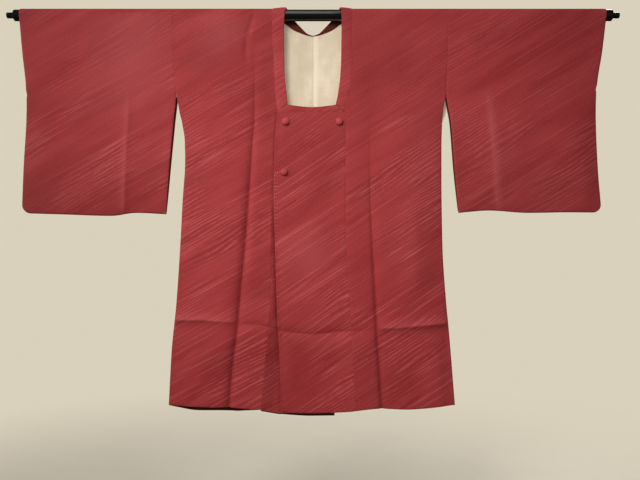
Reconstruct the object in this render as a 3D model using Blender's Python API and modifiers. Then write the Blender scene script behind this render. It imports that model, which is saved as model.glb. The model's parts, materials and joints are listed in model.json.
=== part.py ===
"""A michiyuki coat hung over a plain rod, built from the pieces that a maker cuts and sews.

Metres, +Z up. +X runs to the wearer's left, the coat faces -Y, and the origin is the rod's
centre above the middle of the neck. Heights are measured from the rod's centre line.
Every piece of cloth is a sheet of points at the middle of its wall, which a Solidify
modifier thickens to both sides.
"""

import math
from collections import namedtuple

import bmesh
import bpy
import numpy as np

COLLECTION = "michiyuki_coat"

# Rod
ROD_RADIUS = 0.0125
ROD_HALF_LENGTH = 0.666
ROD_CHAMFER = 0.001
STUB_RADIUS = 0.0065
STUB_LENGTH = 0.016
ROD_SIDES = 32

# Cloth walls, and the gap that separates pieces
WALL = 0.0012
BAND_WALL = 0.0012
LINING_WALL = 0.0010
GAP = 0.0003
MITRE_GAP = 0.0006

# The cloth bends over the rod in flat steps, whose middles clear the rod by the gap
ARC_STEPS = 8
CLOTH_RADIUS = (ROD_RADIUS + GAP) / math.cos(math.pi / (2 * ARC_STEPS)) + WALL / 2
SEAM_TIP = 0.003

# Heights that the whole coat shares
UNDERARM_TOP = -0.173
UNDERARM_FOOT = -0.246
NECK_SEAM = -0.2105
LINING_TOP = -0.020
LINING_FOOT = -0.600
LINING_INSET = 0.0025

# Body rows and columns
UPPER_ROWS = 5
UNDERARM_ROWS = 2
MIDDLE_ROWS = 8
SKIRT_ROWS = 4
CREASE_WIDTH = 0.007
EDGE_COLUMNS = (0.0, 0.12, 0.28, 0.48, 0.74)
NECK_COLUMNS = 4
OVERLAP_COLUMNS = 6
DRAPE_REACH = 0.120

# A point's height depends on its place across and the other way round, so both settle in turns
SETTLE_TURNS = 3

# Sleeves
SLEEVE_LOWER_ROWS = 4
SLEEVE_COLUMNS = (0.0, 0.30, 0.60, 0.82)
SLEEVE_BOTTOM_REACH = 0.110
SLEEVE_LAST_ROW_RISE = 0.050
SLEEVE_EDGE_REACH = 0.070
SLEEVE_CORNER = 0.016

# Neck
BODY_NECK_EDGE = 0.083
BAND_STAND = 0.003
STAND_DROP = 0.060

# The top layer lies proud of the under layer where the fronts cross
OVER_LIFT = 0.0030
UNDER_LIFT = -0.0010
CROSS_HALF = 0.085
CROSS_FADE = 0.060
FREE_EDGE_LIFT = 0.0030
FREE_EDGE_REACH = 0.050

# Buttons
BUTTON_RADIUS = 0.00825
BUTTON_RIM = 0.0018
BUTTON_HEIGHT = 0.0078
BUTTON_SIDES = 20
BUTTON_RINGS = 5

# The wearer's right is at negative X
RIGHT, LEFT = -1, 1

Side = namedtuple("Side", "height front back")
BODY_SIDE = {
    RIGHT: (
        Side(0.000, -0.3147, -0.3147),
        Side(-0.036, -0.3136, -0.3136),
        Side(-0.173, -0.3030, -0.3030),
        Side(-0.213, -0.2970, -0.3000),
        Side(-0.246, -0.2904, -0.2904),
        Side(-0.275, -0.2860, -0.2860),
        Side(-0.324, -0.2848, -0.2848),
        Side(-0.412, -0.2904, -0.2904),
        Side(-0.512, -0.2957, -0.2957),
        Side(-0.647, -0.3048, -0.3048),
        Side(-0.745, -0.3147, -0.3147),
        Side(-0.869, -0.3214, -0.3214),
    ),
    LEFT: (
        Side(0.000, 0.3000, 0.3000),
        Side(-0.036, 0.2992, 0.2992),
        Side(-0.173, 0.2948, 0.2948),
        Side(-0.213, 0.2893, 0.2985),
        Side(-0.246, 0.2870, 0.2870),
        Side(-0.300, 0.2859, 0.2859),
        Side(-0.357, 0.2859, 0.2859),
        Side(-0.512, 0.2881, 0.2881),
        Side(-0.647, 0.2970, 0.2970),
        Side(-0.692, 0.3014, 0.3014),
        Side(-0.867, 0.3158, 0.3158),
    ),
}

# Where each front ends: under the neck band, then at the seam to the overlap
FrontSeam = namedtuple("FrontSeam", "height right left")
FRONT_SEAM = (
    FrontSeam(0.000, -0.0830, 0.0770),
    FrontSeam(-0.120, -0.0800, 0.0790),
    FrontSeam(-0.2105, -0.0776, 0.0720),
    FrontSeam(-0.392, -0.0900, 0.0723),
    FrontSeam(-0.539, -0.0950, 0.0743),
    FrontSeam(-0.625, -0.0975, 0.0807),
    FrontSeam(-0.705, -0.0997, 0.0842),
    FrontSeam(-0.774, -0.1060, 0.0891),
    FrontSeam(-0.880, -0.1150, 0.0931),
)

# Free edges of the overlaps: the top layer's at the wearer's right, the under layer's at the left
OverlapEdge = namedtuple("OverlapEdge", "height over under")
OVERLAP_EDGE = (
    OverlapEdge(-0.2105, -0.0780, 0.0480),
    OverlapEdge(-0.290, -0.0847, 0.0480),
    OverlapEdge(-0.390, -0.0860, 0.0478),
    OverlapEdge(-0.540, -0.0827, 0.0477),
    OverlapEdge(-0.687, -0.0782, 0.0477),
    OverlapEdge(-0.774, -0.0740, 0.0477),
    OverlapEdge(-0.890, -0.0709, 0.0477),
)

# Each overlap's columns in the tables: its seam, its free edge and its hem
OVERLAP_NAMES = {RIGHT: ("right", "under", "under"), LEFT: ("left", "over", "front")}

# Height of the hems, and of the crease left by storage, across the coat
Across = namedtuple("Across", "across front under back crease")
ACROSS = (
    Across(-0.3214, -0.8682, -0.8682, -0.8682, -0.6800),
    Across(-0.2550, -0.8700, -0.8700, -0.8700, -0.6775),
    Across(-0.1880, -0.8705, -0.8705, -0.8710, -0.6830),
    Across(-0.1260, -0.8745, -0.8760, -0.8715, -0.6925),
    Across(-0.0720, -0.8790, -0.8835, -0.8720, -0.7040),
    Across(0.0000, -0.8812, -0.8862, -0.8725, -0.7095),
    Across(0.0690, -0.8790, -0.8850, -0.8720, -0.7030),
    Across(0.1500, -0.8715, -0.8715, -0.8710, -0.7005),
    Across(0.2130, -0.8725, -0.8725, -0.8700, -0.6960),
    Across(0.3160, -0.8670, -0.8670, -0.8670, -0.6870),
)

# Back neck: the seam that carries the band, the band's upper edge and its lower edge
BackNeck = namedtuple("BackNeck", "across seam upper lower")
BACK_NECK = (
    BackNeck(0.000, -0.0505, -0.0487, -0.0690),
    BackNeck(0.013, -0.0480, -0.0440, -0.0680),
    BackNeck(0.024, -0.0440, -0.0330, -0.0640),
    BackNeck(0.036, -0.0380, -0.0200, -0.0580),
    BackNeck(0.046, -0.0310, -0.0100, -0.0510),
    BackNeck(0.055, -0.0250, 0.0000, -0.0420),
    BackNeck(0.064, -0.0200, 0.0000, -0.0330),
    BackNeck(0.083, 0.0000, 0.0000, -0.0100),
    BackNeck(0.090, 0.0000, 0.0000, 0.0000),
)

# The band on each side of the neck, from the mitre up to the shoulder
Band = namedtuple("Band", "height right_in right_out left_in left_out")
BAND = (
    Band(0.000, -0.0625, -0.0905, 0.0635, 0.0850),
    Band(-0.022, -0.0640, -0.0905, 0.0636, 0.0845),
    Band(-0.070, -0.0643, -0.0890, 0.0632, 0.0850),
    Band(-0.102, -0.0638, -0.0865, 0.0625, 0.0855),
    Band(-0.135, -0.0632, -0.0850, 0.0610, 0.0845),
    Band(-0.157, -0.0612, -0.0845, 0.0588, 0.0830),
    Band(-0.186, -0.0580, -0.0825, 0.0545, 0.0770),
    Band(-0.202, -0.0567, -0.0790, 0.0510, 0.0720),
    Band(-0.218, -0.0560, -0.0776, 0.0500, 0.0698),
)
NECK_FOOT = -0.2030
NECK_DIP = -0.0055
BAND_FOOT = -0.2185

# Depth of the cloth's middle from the rod's plane; edges sink to the seam tip
Drape = namedtuple("Drape", "height edge front back sleeve")
DRAPE = (
    Drape(0.000, CLOTH_RADIUS, CLOTH_RADIUS, CLOTH_RADIUS, CLOTH_RADIUS),
    Drape(-0.040, 0.0132, 0.0138, 0.0136, 0.0132),
    Drape(-0.100, 0.0122, 0.0143, 0.0133, 0.0122),
    Drape(-0.175, 0.0104, 0.0150, 0.0130, 0.0104),
    Drape(-0.246, SEAM_TIP, 0.0156, 0.0127, 0.0094),
    Drape(-0.330, SEAM_TIP, 0.0160, 0.0124, 0.0088),
    Drape(-0.450, SEAM_TIP, 0.0166, 0.0124, 0.0084),
    Drape(-0.700, SEAM_TIP, 0.0178, 0.0130, 0.0084),
    Drape(-0.900, SEAM_TIP, 0.0190, 0.0140, 0.0084),
)

# Folds that run down the cloth: a trough on its line, and a lean that stands one side proud
Fold = namedtuple("Fold", "face top_x top_z foot_x foot_z width depth lean")
BODY_FOLDS = (
    Fold("front", -0.1264, -0.010, -0.1884, -0.872, 0.0085, 0.0034, 0.0016),
    Fold("front", 0.1230, -0.120, 0.1507, -0.872, 0.0080, 0.0024, -0.0008),
    Fold("back", -0.1260, -0.080, -0.1700, -0.872, 0.0085, 0.0024, -0.0010),
    Fold("back", 0.1230, -0.060, 0.1560, -0.872, 0.0085, 0.0026, 0.0010),
)
CREASE_DEPTH = 0.0022
FOLD_FADE = 0.110

SleeveLine = namedtuple("SleeveLine", "height inner fold outer")
SLEEVE_LINES = {
    RIGHT: (
        SleeveLine(0.000, -0.3150, -0.4120, -0.6505),
        SleeveLine(-0.080, -0.3110, -0.4125, -0.6440),
        SleeveLine(-0.173, -0.3033, -0.4134, -0.6361),
        SleeveLine(-0.240, -0.3095, -0.4165, -0.6390),
        SleeveLine(-0.340, -0.3190, -0.4195, -0.6450),
        SleeveLine(-0.443, -0.3274, -0.4225, -0.6490),
    ),
    LEFT: (
        SleeveLine(0.000, 0.3003, 0.3784, 0.6494),
        SleeveLine(-0.080, 0.2980, 0.3784, 0.6405),
        SleeveLine(-0.170, 0.2951, 0.3784, 0.6290),
        SleeveLine(-0.240, 0.3060, 0.3850, 0.6302),
        SleeveLine(-0.340, 0.3140, 0.3990, 0.6345),
        SleeveLine(-0.441, 0.3241, 0.4150, 0.6430),
    ),
}
SleeveBottom = namedtuple("SleeveBottom", "across height")
SLEEVE_BOTTOM = {
    RIGHT: (
        SleeveBottom(-0.655, -0.4405),
        SleeveBottom(-0.560, -0.4433),
        SleeveBottom(-0.450, -0.4466),
        SleeveBottom(-0.395, -0.4400),
        SleeveBottom(-0.327, -0.4430),
    ),
    LEFT: (
        SleeveBottom(0.324, -0.4400),
        SleeveBottom(0.392, -0.4348),
        SleeveBottom(0.480, -0.4400),
        SleeveBottom(0.570, -0.4388),
        SleeveBottom(0.650, -0.4395),
    ),
}
SLEEVE_FOLD_WIDTH = 0.009
SLEEVE_FOLD_DEPTH = 0.0018
SLEEVE_FOLD_TOP = -0.090
WRIST_FOOT = {RIGHT: -0.183, LEFT: -0.170}

Button = namedtuple("Button", "name x z")
BUTTONS = (
    Button("button_top_right", -0.0600, -0.2370),
    Button("button_top_left", 0.0581, -0.2370),
    Button("button_waist", -0.0630, -0.3480),
)

CLOTH_COLOUR = (0.36, 0.040, 0.050, 1.0)
LINING_COLOUR = (0.68, 0.58, 0.44, 1.0)
ROD_COLOUR = (0.010, 0.010, 0.011, 1.0)


# Reading the tables
def read(rows, given, wanted, at):
    """A column of a table at a value of another column, on a smooth curve through the rows."""
    rows = sorted(rows, key=lambda row: getattr(row, given))
    keys = [getattr(row, given) for row in rows]
    values = [getattr(row, wanted) for row in rows]
    at = min(max(at, keys[0]), keys[-1])
    place = min(int(np.searchsorted(keys, at, side="right")) - 1, len(keys) - 2)
    steps = np.diff(keys)
    slopes = np.diff(values) / steps
    start = joint_slope(steps, slopes, place)
    end = joint_slope(steps, slopes, place + 1)
    step = steps[place]
    part = (at - keys[place]) / step
    rest = 1 - part
    return float(values[place] * rest * rest * (1 + 2 * part)
                 + values[place + 1] * part * part * (3 - 2 * part)
                 + step * part * rest * (start * rest - end * part))


def joint_slope(steps, slopes, place):
    """Slope of the curve at a row: level between a rise and a fall, or else their harmonic mean."""
    if place == 0:
        return slopes[0]
    if place == len(slopes):
        return slopes[-1]
    before, after = slopes[place - 1], slopes[place]
    if before * after <= 0:
        return 0.0
    near, far = steps[place - 1], steps[place]
    weight = 2 * far + near
    other = far + 2 * near
    return (weight + other) / (weight / before + other / after)


def ease(value):
    """0 to 1, with level ends."""
    value = min(max(value, 0.0), 1.0)
    return value * value * (3 - 2 * value)


def rise(distance, reach):
    """0 at an edge, rising to 1 at the reach along a rounded shoulder."""
    share = min(max(distance / reach, 0.0), 1.0)
    return 1 - (1 - share) ** 2


def spread(start, end, count):
    """Values from start, without end, in equal steps."""
    return [start + (end - start) * step / count for step in range(count)]


# Shape of the cloth
def fold_depth(x, z, face):
    """How far the folds and the storage crease move the cloth in or out."""
    total = 0.0
    for fold in BODY_FOLDS:
        if fold.face != face:
            continue
        share = (z - fold.top_z) / (fold.foot_z - fold.top_z)
        line = fold.top_x + (fold.foot_x - fold.top_x) * share
        away = (x - line) / fold.width
        grown = ease((fold.top_z - z) / FOLD_FADE)
        total += grown * (fold.lean * away - fold.depth) * math.exp(-away * away)
    away = (z - read(ACROSS, "across", "crease", x)) / CREASE_WIDTH
    return total - CREASE_DEPTH * math.exp(-away * away)


def body_depth(x, z, face):
    """Depth of the body's cloth from the rod's plane, on the front or the back."""
    side = LEFT if x > 0 else RIGHT
    outline = abs(read(BODY_SIDE[side], "height", face, z))
    edge = read(DRAPE, "height", "edge", z)
    middle = read(DRAPE, "height", face, z)
    bulge = (middle - edge) * rise(outline - abs(x), DRAPE_REACH)
    return edge + bulge + fold_depth(x, z, face) * rise(outline - abs(x), CREASE_WIDTH * 2)


def front_depth(side, x, z):
    """Depth of one side's front, whose layer stands proud or back where the fronts cross."""
    across = 1 - ease((abs(x) - CROSS_HALF) / CROSS_FADE)
    lift = OVER_LIFT if side == LEFT else UNDER_LIFT
    return body_depth(x, z, "front") + lift * across * ease(-z / STAND_DROP)


def overlap_depth(side, x, z):
    """Depth of one side's overlap; the top one's free edge stands off more towards the hem."""
    depth = front_depth(side, x, z)
    if side == RIGHT:
        return depth
    edge = read(OVERLAP_EDGE, "height", "over", z)
    free = 1 - ease((x - edge) / FREE_EDGE_REACH)
    low = ease((NECK_SEAM - z) / -ACROSS[0].front)
    return depth + FREE_EDGE_LIFT * free * low


class Sheet:
    """Named points and the faces between them."""

    def __init__(self):
        self.points = {}
        self.faces = []

    def put(self, key, x, y, z):
        self.points[key] = (x, y, z)

    def face(self, *keys):
        self.faces.append(keys)

    def grid(self, columns, rows):
        """Faces between the columns and rows that are already placed."""
        for left, right in zip(columns, columns[1:]):
            for low, high in zip(rows, rows[1:]):
                self.face((left, low), (right, low), (right, high), (left, high))

    def close_side(self, column, tip, rows, last):
        """Closes the front rows of a column to its back rows, round the points of the seam's tip."""
        for row in range(rows):
            self.face((column, row), (column, row + 1), (tip, row + 1), (tip, row))
            self.face((tip, row), (tip, row + 1), (column, last - row - 1), (column, last - row))

    def build(self, name, wall, material):
        """The sheet as an object, thickened to both sides."""
        keys = {key: number for number, key in enumerate(self.points)}
        mesh = bpy.data.meshes.new(name)
        faces = [[keys[key] for key in face] for face in self.faces]
        mesh.from_pydata(list(self.points.values()), [], faces)
        work = bmesh.new()
        work.from_mesh(mesh)
        bmesh.ops.recalc_face_normals(work, faces=work.faces)
        work.to_mesh(mesh)
        work.free()
        new = add_object(name, mesh, material)
        thicken = new.modifiers.new("Wall", "SOLIDIFY")
        thicken.thickness = wall
        thicken.offset = 0.0
        thicken.use_even_offset = True
        thicken.use_quality_normals = True
        return new


def add_object(name, mesh, material):
    """A new object in the coat's collection."""
    new = bpy.data.objects.new(name, mesh)
    bpy.data.collections[COLLECTION].objects.link(new)
    mesh.materials.append(material)
    return new


def make_material(name, colour, roughness, metallic=0.0):
    material = bpy.data.materials.new(name)
    material.use_nodes = True
    shader = material.node_tree.nodes["Principled BSDF"]
    shader.inputs["Base Color"].default_value = colour
    shader.inputs["Roughness"].default_value = roughness
    shader.inputs["Metallic"].default_value = metallic
    return material


def bend_over_rod(sheet, column, row):
    """Points of one column over the rod, from its front row at the rod's height to its back row."""
    front_x = sheet.points[(column, row)][0]
    back_x = sheet.points[(column, row + ARC_STEPS)][0]
    for step in range(1, ARC_STEPS):
        angle = math.pi * step / ARC_STEPS
        x = front_x + (back_x - front_x) * step / ARC_STEPS
        y = -CLOTH_RADIUS * math.cos(angle)
        sheet.put((column, row + step), x, y, CLOTH_RADIUS * math.sin(angle))


# Body
def body_heights(x, hem, neck=0.0):
    """Row heights down one face of the body at x, from the rod or the neck seam to the hem."""
    crease = read(ACROSS, "across", "crease", x)
    heights = spread(neck, UNDERARM_TOP, UPPER_ROWS)
    heights += spread(UNDERARM_TOP, UNDERARM_FOOT, UNDERARM_ROWS)
    heights += spread(UNDERARM_FOOT, crease + CREASE_WIDTH, MIDDLE_ROWS)
    heights += [crease + CREASE_WIDTH, crease]
    heights += spread(crease - CREASE_WIDTH, hem, SKIRT_ROWS)
    return heights + [hem]


BODY_ROWS = UPPER_ROWS + UNDERARM_ROWS + MIDDLE_ROWS + 2 + SKIRT_ROWS
SEWN_ROWS = BODY_ROWS - UPPER_ROWS - UNDERARM_ROWS
FOLD_COLUMNS = len(EDGE_COLUMNS)
SEAM_COLUMN = FOLD_COLUMNS + 4
LAST_COLUMN = SEAM_COLUMN + NECK_COLUMNS


def sewn_inset(z):
    """How far the wall stops inside the outline, where the side seam's tip takes over."""
    return SEAM_TIP * ease((UNDERARM_TOP - z) / (UNDERARM_TOP - UNDERARM_FOOT))


def body_column(side, face, column, z):
    """X of a column at a height: from the side, past the fold, to the front seam and the back's middle."""
    outer = read(BODY_SIDE[side], "height", face, z) - side * sewn_inset(z)
    fold = [row for row in BODY_FOLDS if row.face == face and row.top_x * side > 0][0]
    share = min(max((z - fold.top_z) / (fold.foot_z - fold.top_z), 0.0), 1.0)
    line = fold.top_x + (fold.foot_x - fold.top_x) * share
    inner = read(FRONT_SEAM, "height", "left" if side == LEFT else "right", z)
    if face == "back":
        inner = side * (BODY_NECK_EDGE + (abs(inner) - BODY_NECK_EDGE) * ease(z / UNDERARM_TOP))
    if column < FOLD_COLUMNS:
        return outer + (line + side * fold.width - outer) * EDGE_COLUMNS[column]
    if column <= FOLD_COLUMNS + 2:
        return line + side * fold.width * (FOLD_COLUMNS + 1 - column)
    if column < SEAM_COLUMN:
        return (line - side * fold.width + inner) / 2
    if column == SEAM_COLUMN:
        return inner + side * GAP / 2
    share = (column - SEAM_COLUMN) / NECK_COLUMNS
    return inner + (side * GAP / 2 - inner) * share


def body_point(side, face, column, row):
    """X and Z of one point of the body's cloth; rows count down from the rod or the neck seam."""
    x = body_column(side, face, column, UNDERARM_FOOT)
    for _ in range(SETTLE_TURNS):
        neck = 0.0
        if face == "back" and column > SEAM_COLUMN:
            neck = read(BACK_NECK, "across", "seam", abs(x))
        hem = read(ACROSS, "across", face, x)
        z = body_heights(x, hem, neck)[row]
        x = body_column(side, face, column, z)
    return x, z


def make_body(side, name, material):
    """Front, shoulder and back in one length, closed down the side below the underarm opening."""
    sheet = Sheet()
    back = BODY_ROWS + ARC_STEPS
    last = back + BODY_ROWS
    for column in range(LAST_COLUMN + 1):
        for row in range(BODY_ROWS + 1):
            x, z = body_point(side, "back", column, row)
            sheet.put((column, back + row), x, body_depth(x, z, "back"), z)
            if column <= SEAM_COLUMN:
                x, z = body_point(side, "front", column, row)
                sheet.put((column, BODY_ROWS - row), x, -front_depth(side, x, z), z)
        if column <= SEAM_COLUMN:
            bend_over_rod(sheet, column, BODY_ROWS)
    sheet.grid(range(SEAM_COLUMN + 1), range(last + 1))
    sheet.grid(range(SEAM_COLUMN, LAST_COLUMN + 1), range(back, last + 1))
    for row in range(SEWN_ROWS + 1):
        x, y, z = sheet.points[(0, row)]
        sheet.put(("tip", row), x + side * SEAM_TIP, 0.0, z)
    sheet.close_side(0, "tip", SEWN_ROWS, last)
    return sheet.build(name, WALL, material)


def make_lining(side, name, material):
    """The back lining, made from the back's own points moved in."""
    sheet = Sheet()
    inward = WALL / 2 + GAP + LINING_WALL / 2
    for column in range(LAST_COLUMN + 1):
        for row in range(BODY_ROWS + 1):
            x, z = body_point(side, "back", column, row)
            if column == 0:
                x -= side * LINING_INSET
            y = body_depth(x, z, "back") - inward
            if z > LINING_FOOT:
                sheet.put((column, row), x, y, min(z, LINING_TOP))
    rows = [row for row in range(BODY_ROWS + 1) if (LAST_COLUMN, row) in sheet.points]
    sheet.grid(range(LAST_COLUMN + 1), rows)
    return sheet.build(name, LINING_WALL, material)


# Overlaps
def make_okumi(side, name, material):
    """Front overlap between the body's seam and its own free edge."""
    sheet = Sheet()
    seam_name, edge_name, hem_name = OVERLAP_NAMES[side]
    rows = range(BODY_ROWS + 1 - UPPER_ROWS)
    for column in range(OVERLAP_COLUMNS + 1):
        for row in rows:
            z = NECK_SEAM
            for _ in range(SETTLE_TURNS):
                seam = read(FRONT_SEAM, "height", seam_name, z) - side * GAP / 2
                edge = read(OVERLAP_EDGE, "height", edge_name, z)
                x = seam + (edge - seam) * column / OVERLAP_COLUMNS
                heights = body_heights(x, read(ACROSS, "across", hem_name, x))[UPPER_ROWS:]
                heights[0] = NECK_SEAM
                heights[1] = (NECK_SEAM + UNDERARM_FOOT) / 2
                z = heights[row]
            sheet.put((column, row), x, -overlap_depth(side, x, z), z)
    sheet.grid(range(OVERLAP_COLUMNS + 1), rows)
    return sheet.build(name, WALL, material)


# Neck bands
BAND_LIFT = WALL / 2 + GAP + BAND_WALL / 2
FRONT_BAND_COLUMNS = 6


def band_point(side, across, z):
    """A point of the band at the front: across runs from 0 at the neck to 1 at its outer seam."""
    name = "left" if side == LEFT else "right"
    inner = read(BAND, "height", name + "_in", z)
    outer = read(BAND, "height", name + "_out", z)
    x = inner + (outer - inner) * across
    stand = BAND_STAND * (1 - across) * (1 - ease(-z / STAND_DROP))
    return x, -(front_depth(side, x, z) + BAND_LIFT + stand), z


def band_station(side, station):
    """The three points of the band at one station, counted from the mitre to the middle back."""
    heights = [BAND_FOOT] + spread(UNDERARM_TOP, 0.0, UPPER_ROWS) + [0.0]
    points = []
    for across in (0.0, 0.5, 1.0):
        if station < len(heights):
            mitre = (1 - across) * (NECK_FOOT - BAND_FOOT) if station == 0 else 0.0
            points.append(band_point(side, across, heights[station] + mitre))
            continue
        step = station - len(heights) + 1
        if step < ARC_STEPS:
            points.append(band_over_rod(side, across, math.pi * step / ARC_STEPS))
        else:
            points.append(band_behind(side, across, BACK_STATIONS[step - ARC_STEPS]))
    return points


def band_over_rod(side, across, angle):
    x, y, z = band_point(side, across, 0.0)
    share = angle / math.pi
    behind = band_behind(side, across, BACK_STATIONS[0])
    x += (behind[0] - x) * share
    radius = -y + (behind[1] + y) * share
    return x, -radius * math.cos(angle), radius * math.sin(angle)


# Places of the band behind the neck, as the distance from the middle of its upper and lower edge
BackStation = namedtuple("BackStation", "upper lower")
BACK_STATIONS = (
    BackStation(0.0550, 0.0900),
    BackStation(0.0460, 0.0700),
    BackStation(0.0360, 0.0520),
    BackStation(0.0240, 0.0340),
    BackStation(0.0130, 0.0170),
    BackStation(0.0000, 0.0000),
)


def band_behind(side, across, back_station):
    """A point of the band behind the neck, on the outside of the back."""
    upper = back_station.upper
    lower = back_station.lower
    z_upper = read(BACK_NECK, "across", "upper", upper)
    z_lower = read(BACK_NECK, "across", "lower", lower)
    x = side * (upper + (lower - upper) * across)
    z = z_upper + (z_lower - z_upper) * across
    depth = body_depth(x, z, "back") + BAND_LIFT
    return x, depth, z


def make_collar_band(material):
    """One strip from the right mitre over both shoulders and round the back to the left mitre."""
    sheet = Sheet()
    stations = UPPER_ROWS + 1 + ARC_STEPS + len(BACK_STATIONS)
    for side in (RIGHT, LEFT):
        for station in range(stations):
            number = station if side == RIGHT else 2 * (stations - 1) - station
            for column, point in enumerate(band_station(side, station)):
                sheet.put((column, number), *point)
    sheet.grid(range(3), range(2 * stations - 1))
    return sheet.build("collar_band", BAND_WALL, material)


def make_front_band(side, name, material):
    """The band across the front neck of one layer, mitred where it meets the upright bands."""
    sheet = Sheet()
    upper_start, lower_start = BAND[-2].right_in + MITRE_GAP, BAND[-1].right_out + MITRE_GAP
    upper_end, lower_end = BAND[-2].left_in - MITRE_GAP, BAND[-1].left_out - MITRE_GAP
    if side == RIGHT:
        upper_end = lower_end = read(OVERLAP_EDGE, "height", "under", NECK_FOOT)
    for column in range(FRONT_BAND_COLUMNS + 1):
        share = column / FRONT_BAND_COLUMNS
        upper = upper_start + (upper_end - upper_start) * share
        lower = lower_start + (lower_end - lower_start) * share
        top = NECK_FOOT + NECK_DIP * math.sin(math.pi * share)
        for row, across in enumerate((0.0, 0.5, 1.0)):
            x = upper + (lower - upper) * across
            z = top + (BAND_FOOT - top) * across
            sheet.put((column, row), x, -(overlap_depth(side, x, z) + BAND_LIFT), z)
    sheet.grid(range(FRONT_BAND_COLUMNS + 1), range(3))
    return sheet.build(name, BAND_WALL, material)


# Sleeves
def round_corner(x, z, outer, bottom, side):
    """Moves points near the outer bottom corner onto a rounded outline."""
    across = SLEEVE_CORNER - (outer - x) * side
    down = SLEEVE_CORNER - (z - bottom)
    if across <= 0 or down <= 0:
        return x, z
    shrink = max(across, down) / math.hypot(across, down)
    across_new = across * shrink
    down_new = down * shrink
    return outer - side * (SLEEVE_CORNER - across_new), bottom + SLEEVE_CORNER - down_new


def sleeve_heights(side, x):
    """Row heights down the sleeve at x, from the rod to just above its bottom seam."""
    ends = SLEEVE_LINES[side][0]
    share = (x - ends.inner) / (ends.outer - ends.inner)
    foot = UNDERARM_TOP + (WRIST_FOOT[side] - UNDERARM_TOP) * share
    bottom = read(SLEEVE_BOTTOM[side], "across", "height", x)
    heights = spread(0.0, foot, UPPER_ROWS)
    heights += spread(foot, bottom + SLEEVE_LAST_ROW_RISE, SLEEVE_LOWER_ROWS)
    heights += [bottom + SLEEVE_LAST_ROW_RISE, bottom + SLEEVE_CORNER]
    return heights + [bottom + SEAM_TIP]


SLEEVE_ROWS = UPPER_ROWS + SLEEVE_LOWER_ROWS + 2
SLEEVE_SEWN_ROWS = SLEEVE_ROWS - UPPER_ROWS
SLEEVE_OUTER_COLUMN = 4
SLEEVE_LAST = SLEEVE_OUTER_COLUMN + len(SLEEVE_COLUMNS) + 1


def sleeve_column(side, column, z):
    """X of a sleeve column: inner edge, both flanks of the fold, then out to the outer edge."""
    lines = SLEEVE_LINES[side]
    inner = read(lines, "height", "inner", z)
    if z >= UNDERARM_TOP:
        inner = read(BODY_SIDE[side], "height", "front", z) + side * GAP
    fold = read(lines, "height", "fold", z)
    outer = read(lines, "height", "outer", z)
    sewn = ease((WRIST_FOOT[side] + SLEEVE_CORNER - z) / SLEEVE_CORNER)
    edge = outer - side * SEAM_TIP * sewn
    if column == 0:
        return inner
    if column == 1:
        return (inner + fold) / 2
    if column < SLEEVE_OUTER_COLUMN:
        return fold + side * SLEEVE_FOLD_WIDTH * (column - 3)
    if column == SLEEVE_LAST:
        return edge
    if column == SLEEVE_LAST - 1:
        return outer - side * SLEEVE_CORNER
    start = fold + side * SLEEVE_FOLD_WIDTH
    return start + (outer - start) * SLEEVE_COLUMNS[column - SLEEVE_OUTER_COLUMN]


def sleeve_depth(side, x, z):
    """Depth of the sleeve's cloth: shut at the bottom seam and at the outer seam below the wrist."""
    lines = SLEEVE_LINES[side]
    outer = abs(read(lines, "height", "outer", z))
    bottom = read(SLEEVE_BOTTOM[side], "across", "height", x)
    open_depth = read(DRAPE, "height", "sleeve", z)
    from_bottom = rise(z - bottom - SEAM_TIP, SLEEVE_BOTTOM_REACH)
    shut = ease((WRIST_FOOT[side] - z) / SLEEVE_EDGE_REACH)
    from_edge = 1 - shut * (1 - rise(outer - SEAM_TIP - abs(x), SLEEVE_EDGE_REACH))
    away = (x - read(lines, "height", "fold", z)) / SLEEVE_FOLD_WIDTH
    grown = ease((SLEEVE_FOLD_TOP - z) / FOLD_FADE)
    trough = SLEEVE_FOLD_DEPTH * grown * math.exp(-away * away)
    return SEAM_TIP + (open_depth - SEAM_TIP - trough) * from_bottom * from_edge


def sleeve_point(side, column, row):
    """Place of one point of the sleeve's front; rows count down from the rod."""
    x = sleeve_column(side, column, UNDERARM_TOP)
    for _ in range(SETTLE_TURNS):
        z = sleeve_heights(side, x)[row]
        x = sleeve_column(side, column, z)
    depth = sleeve_depth(side, x, z)
    outer = read(SLEEVE_LINES[side], "height", "outer", z) - side * SEAM_TIP
    bottom = read(SLEEVE_BOTTOM[side], "across", "height", x) + SEAM_TIP
    x, z = round_corner(x, z, outer, bottom, side)
    return x, depth, z


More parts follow.
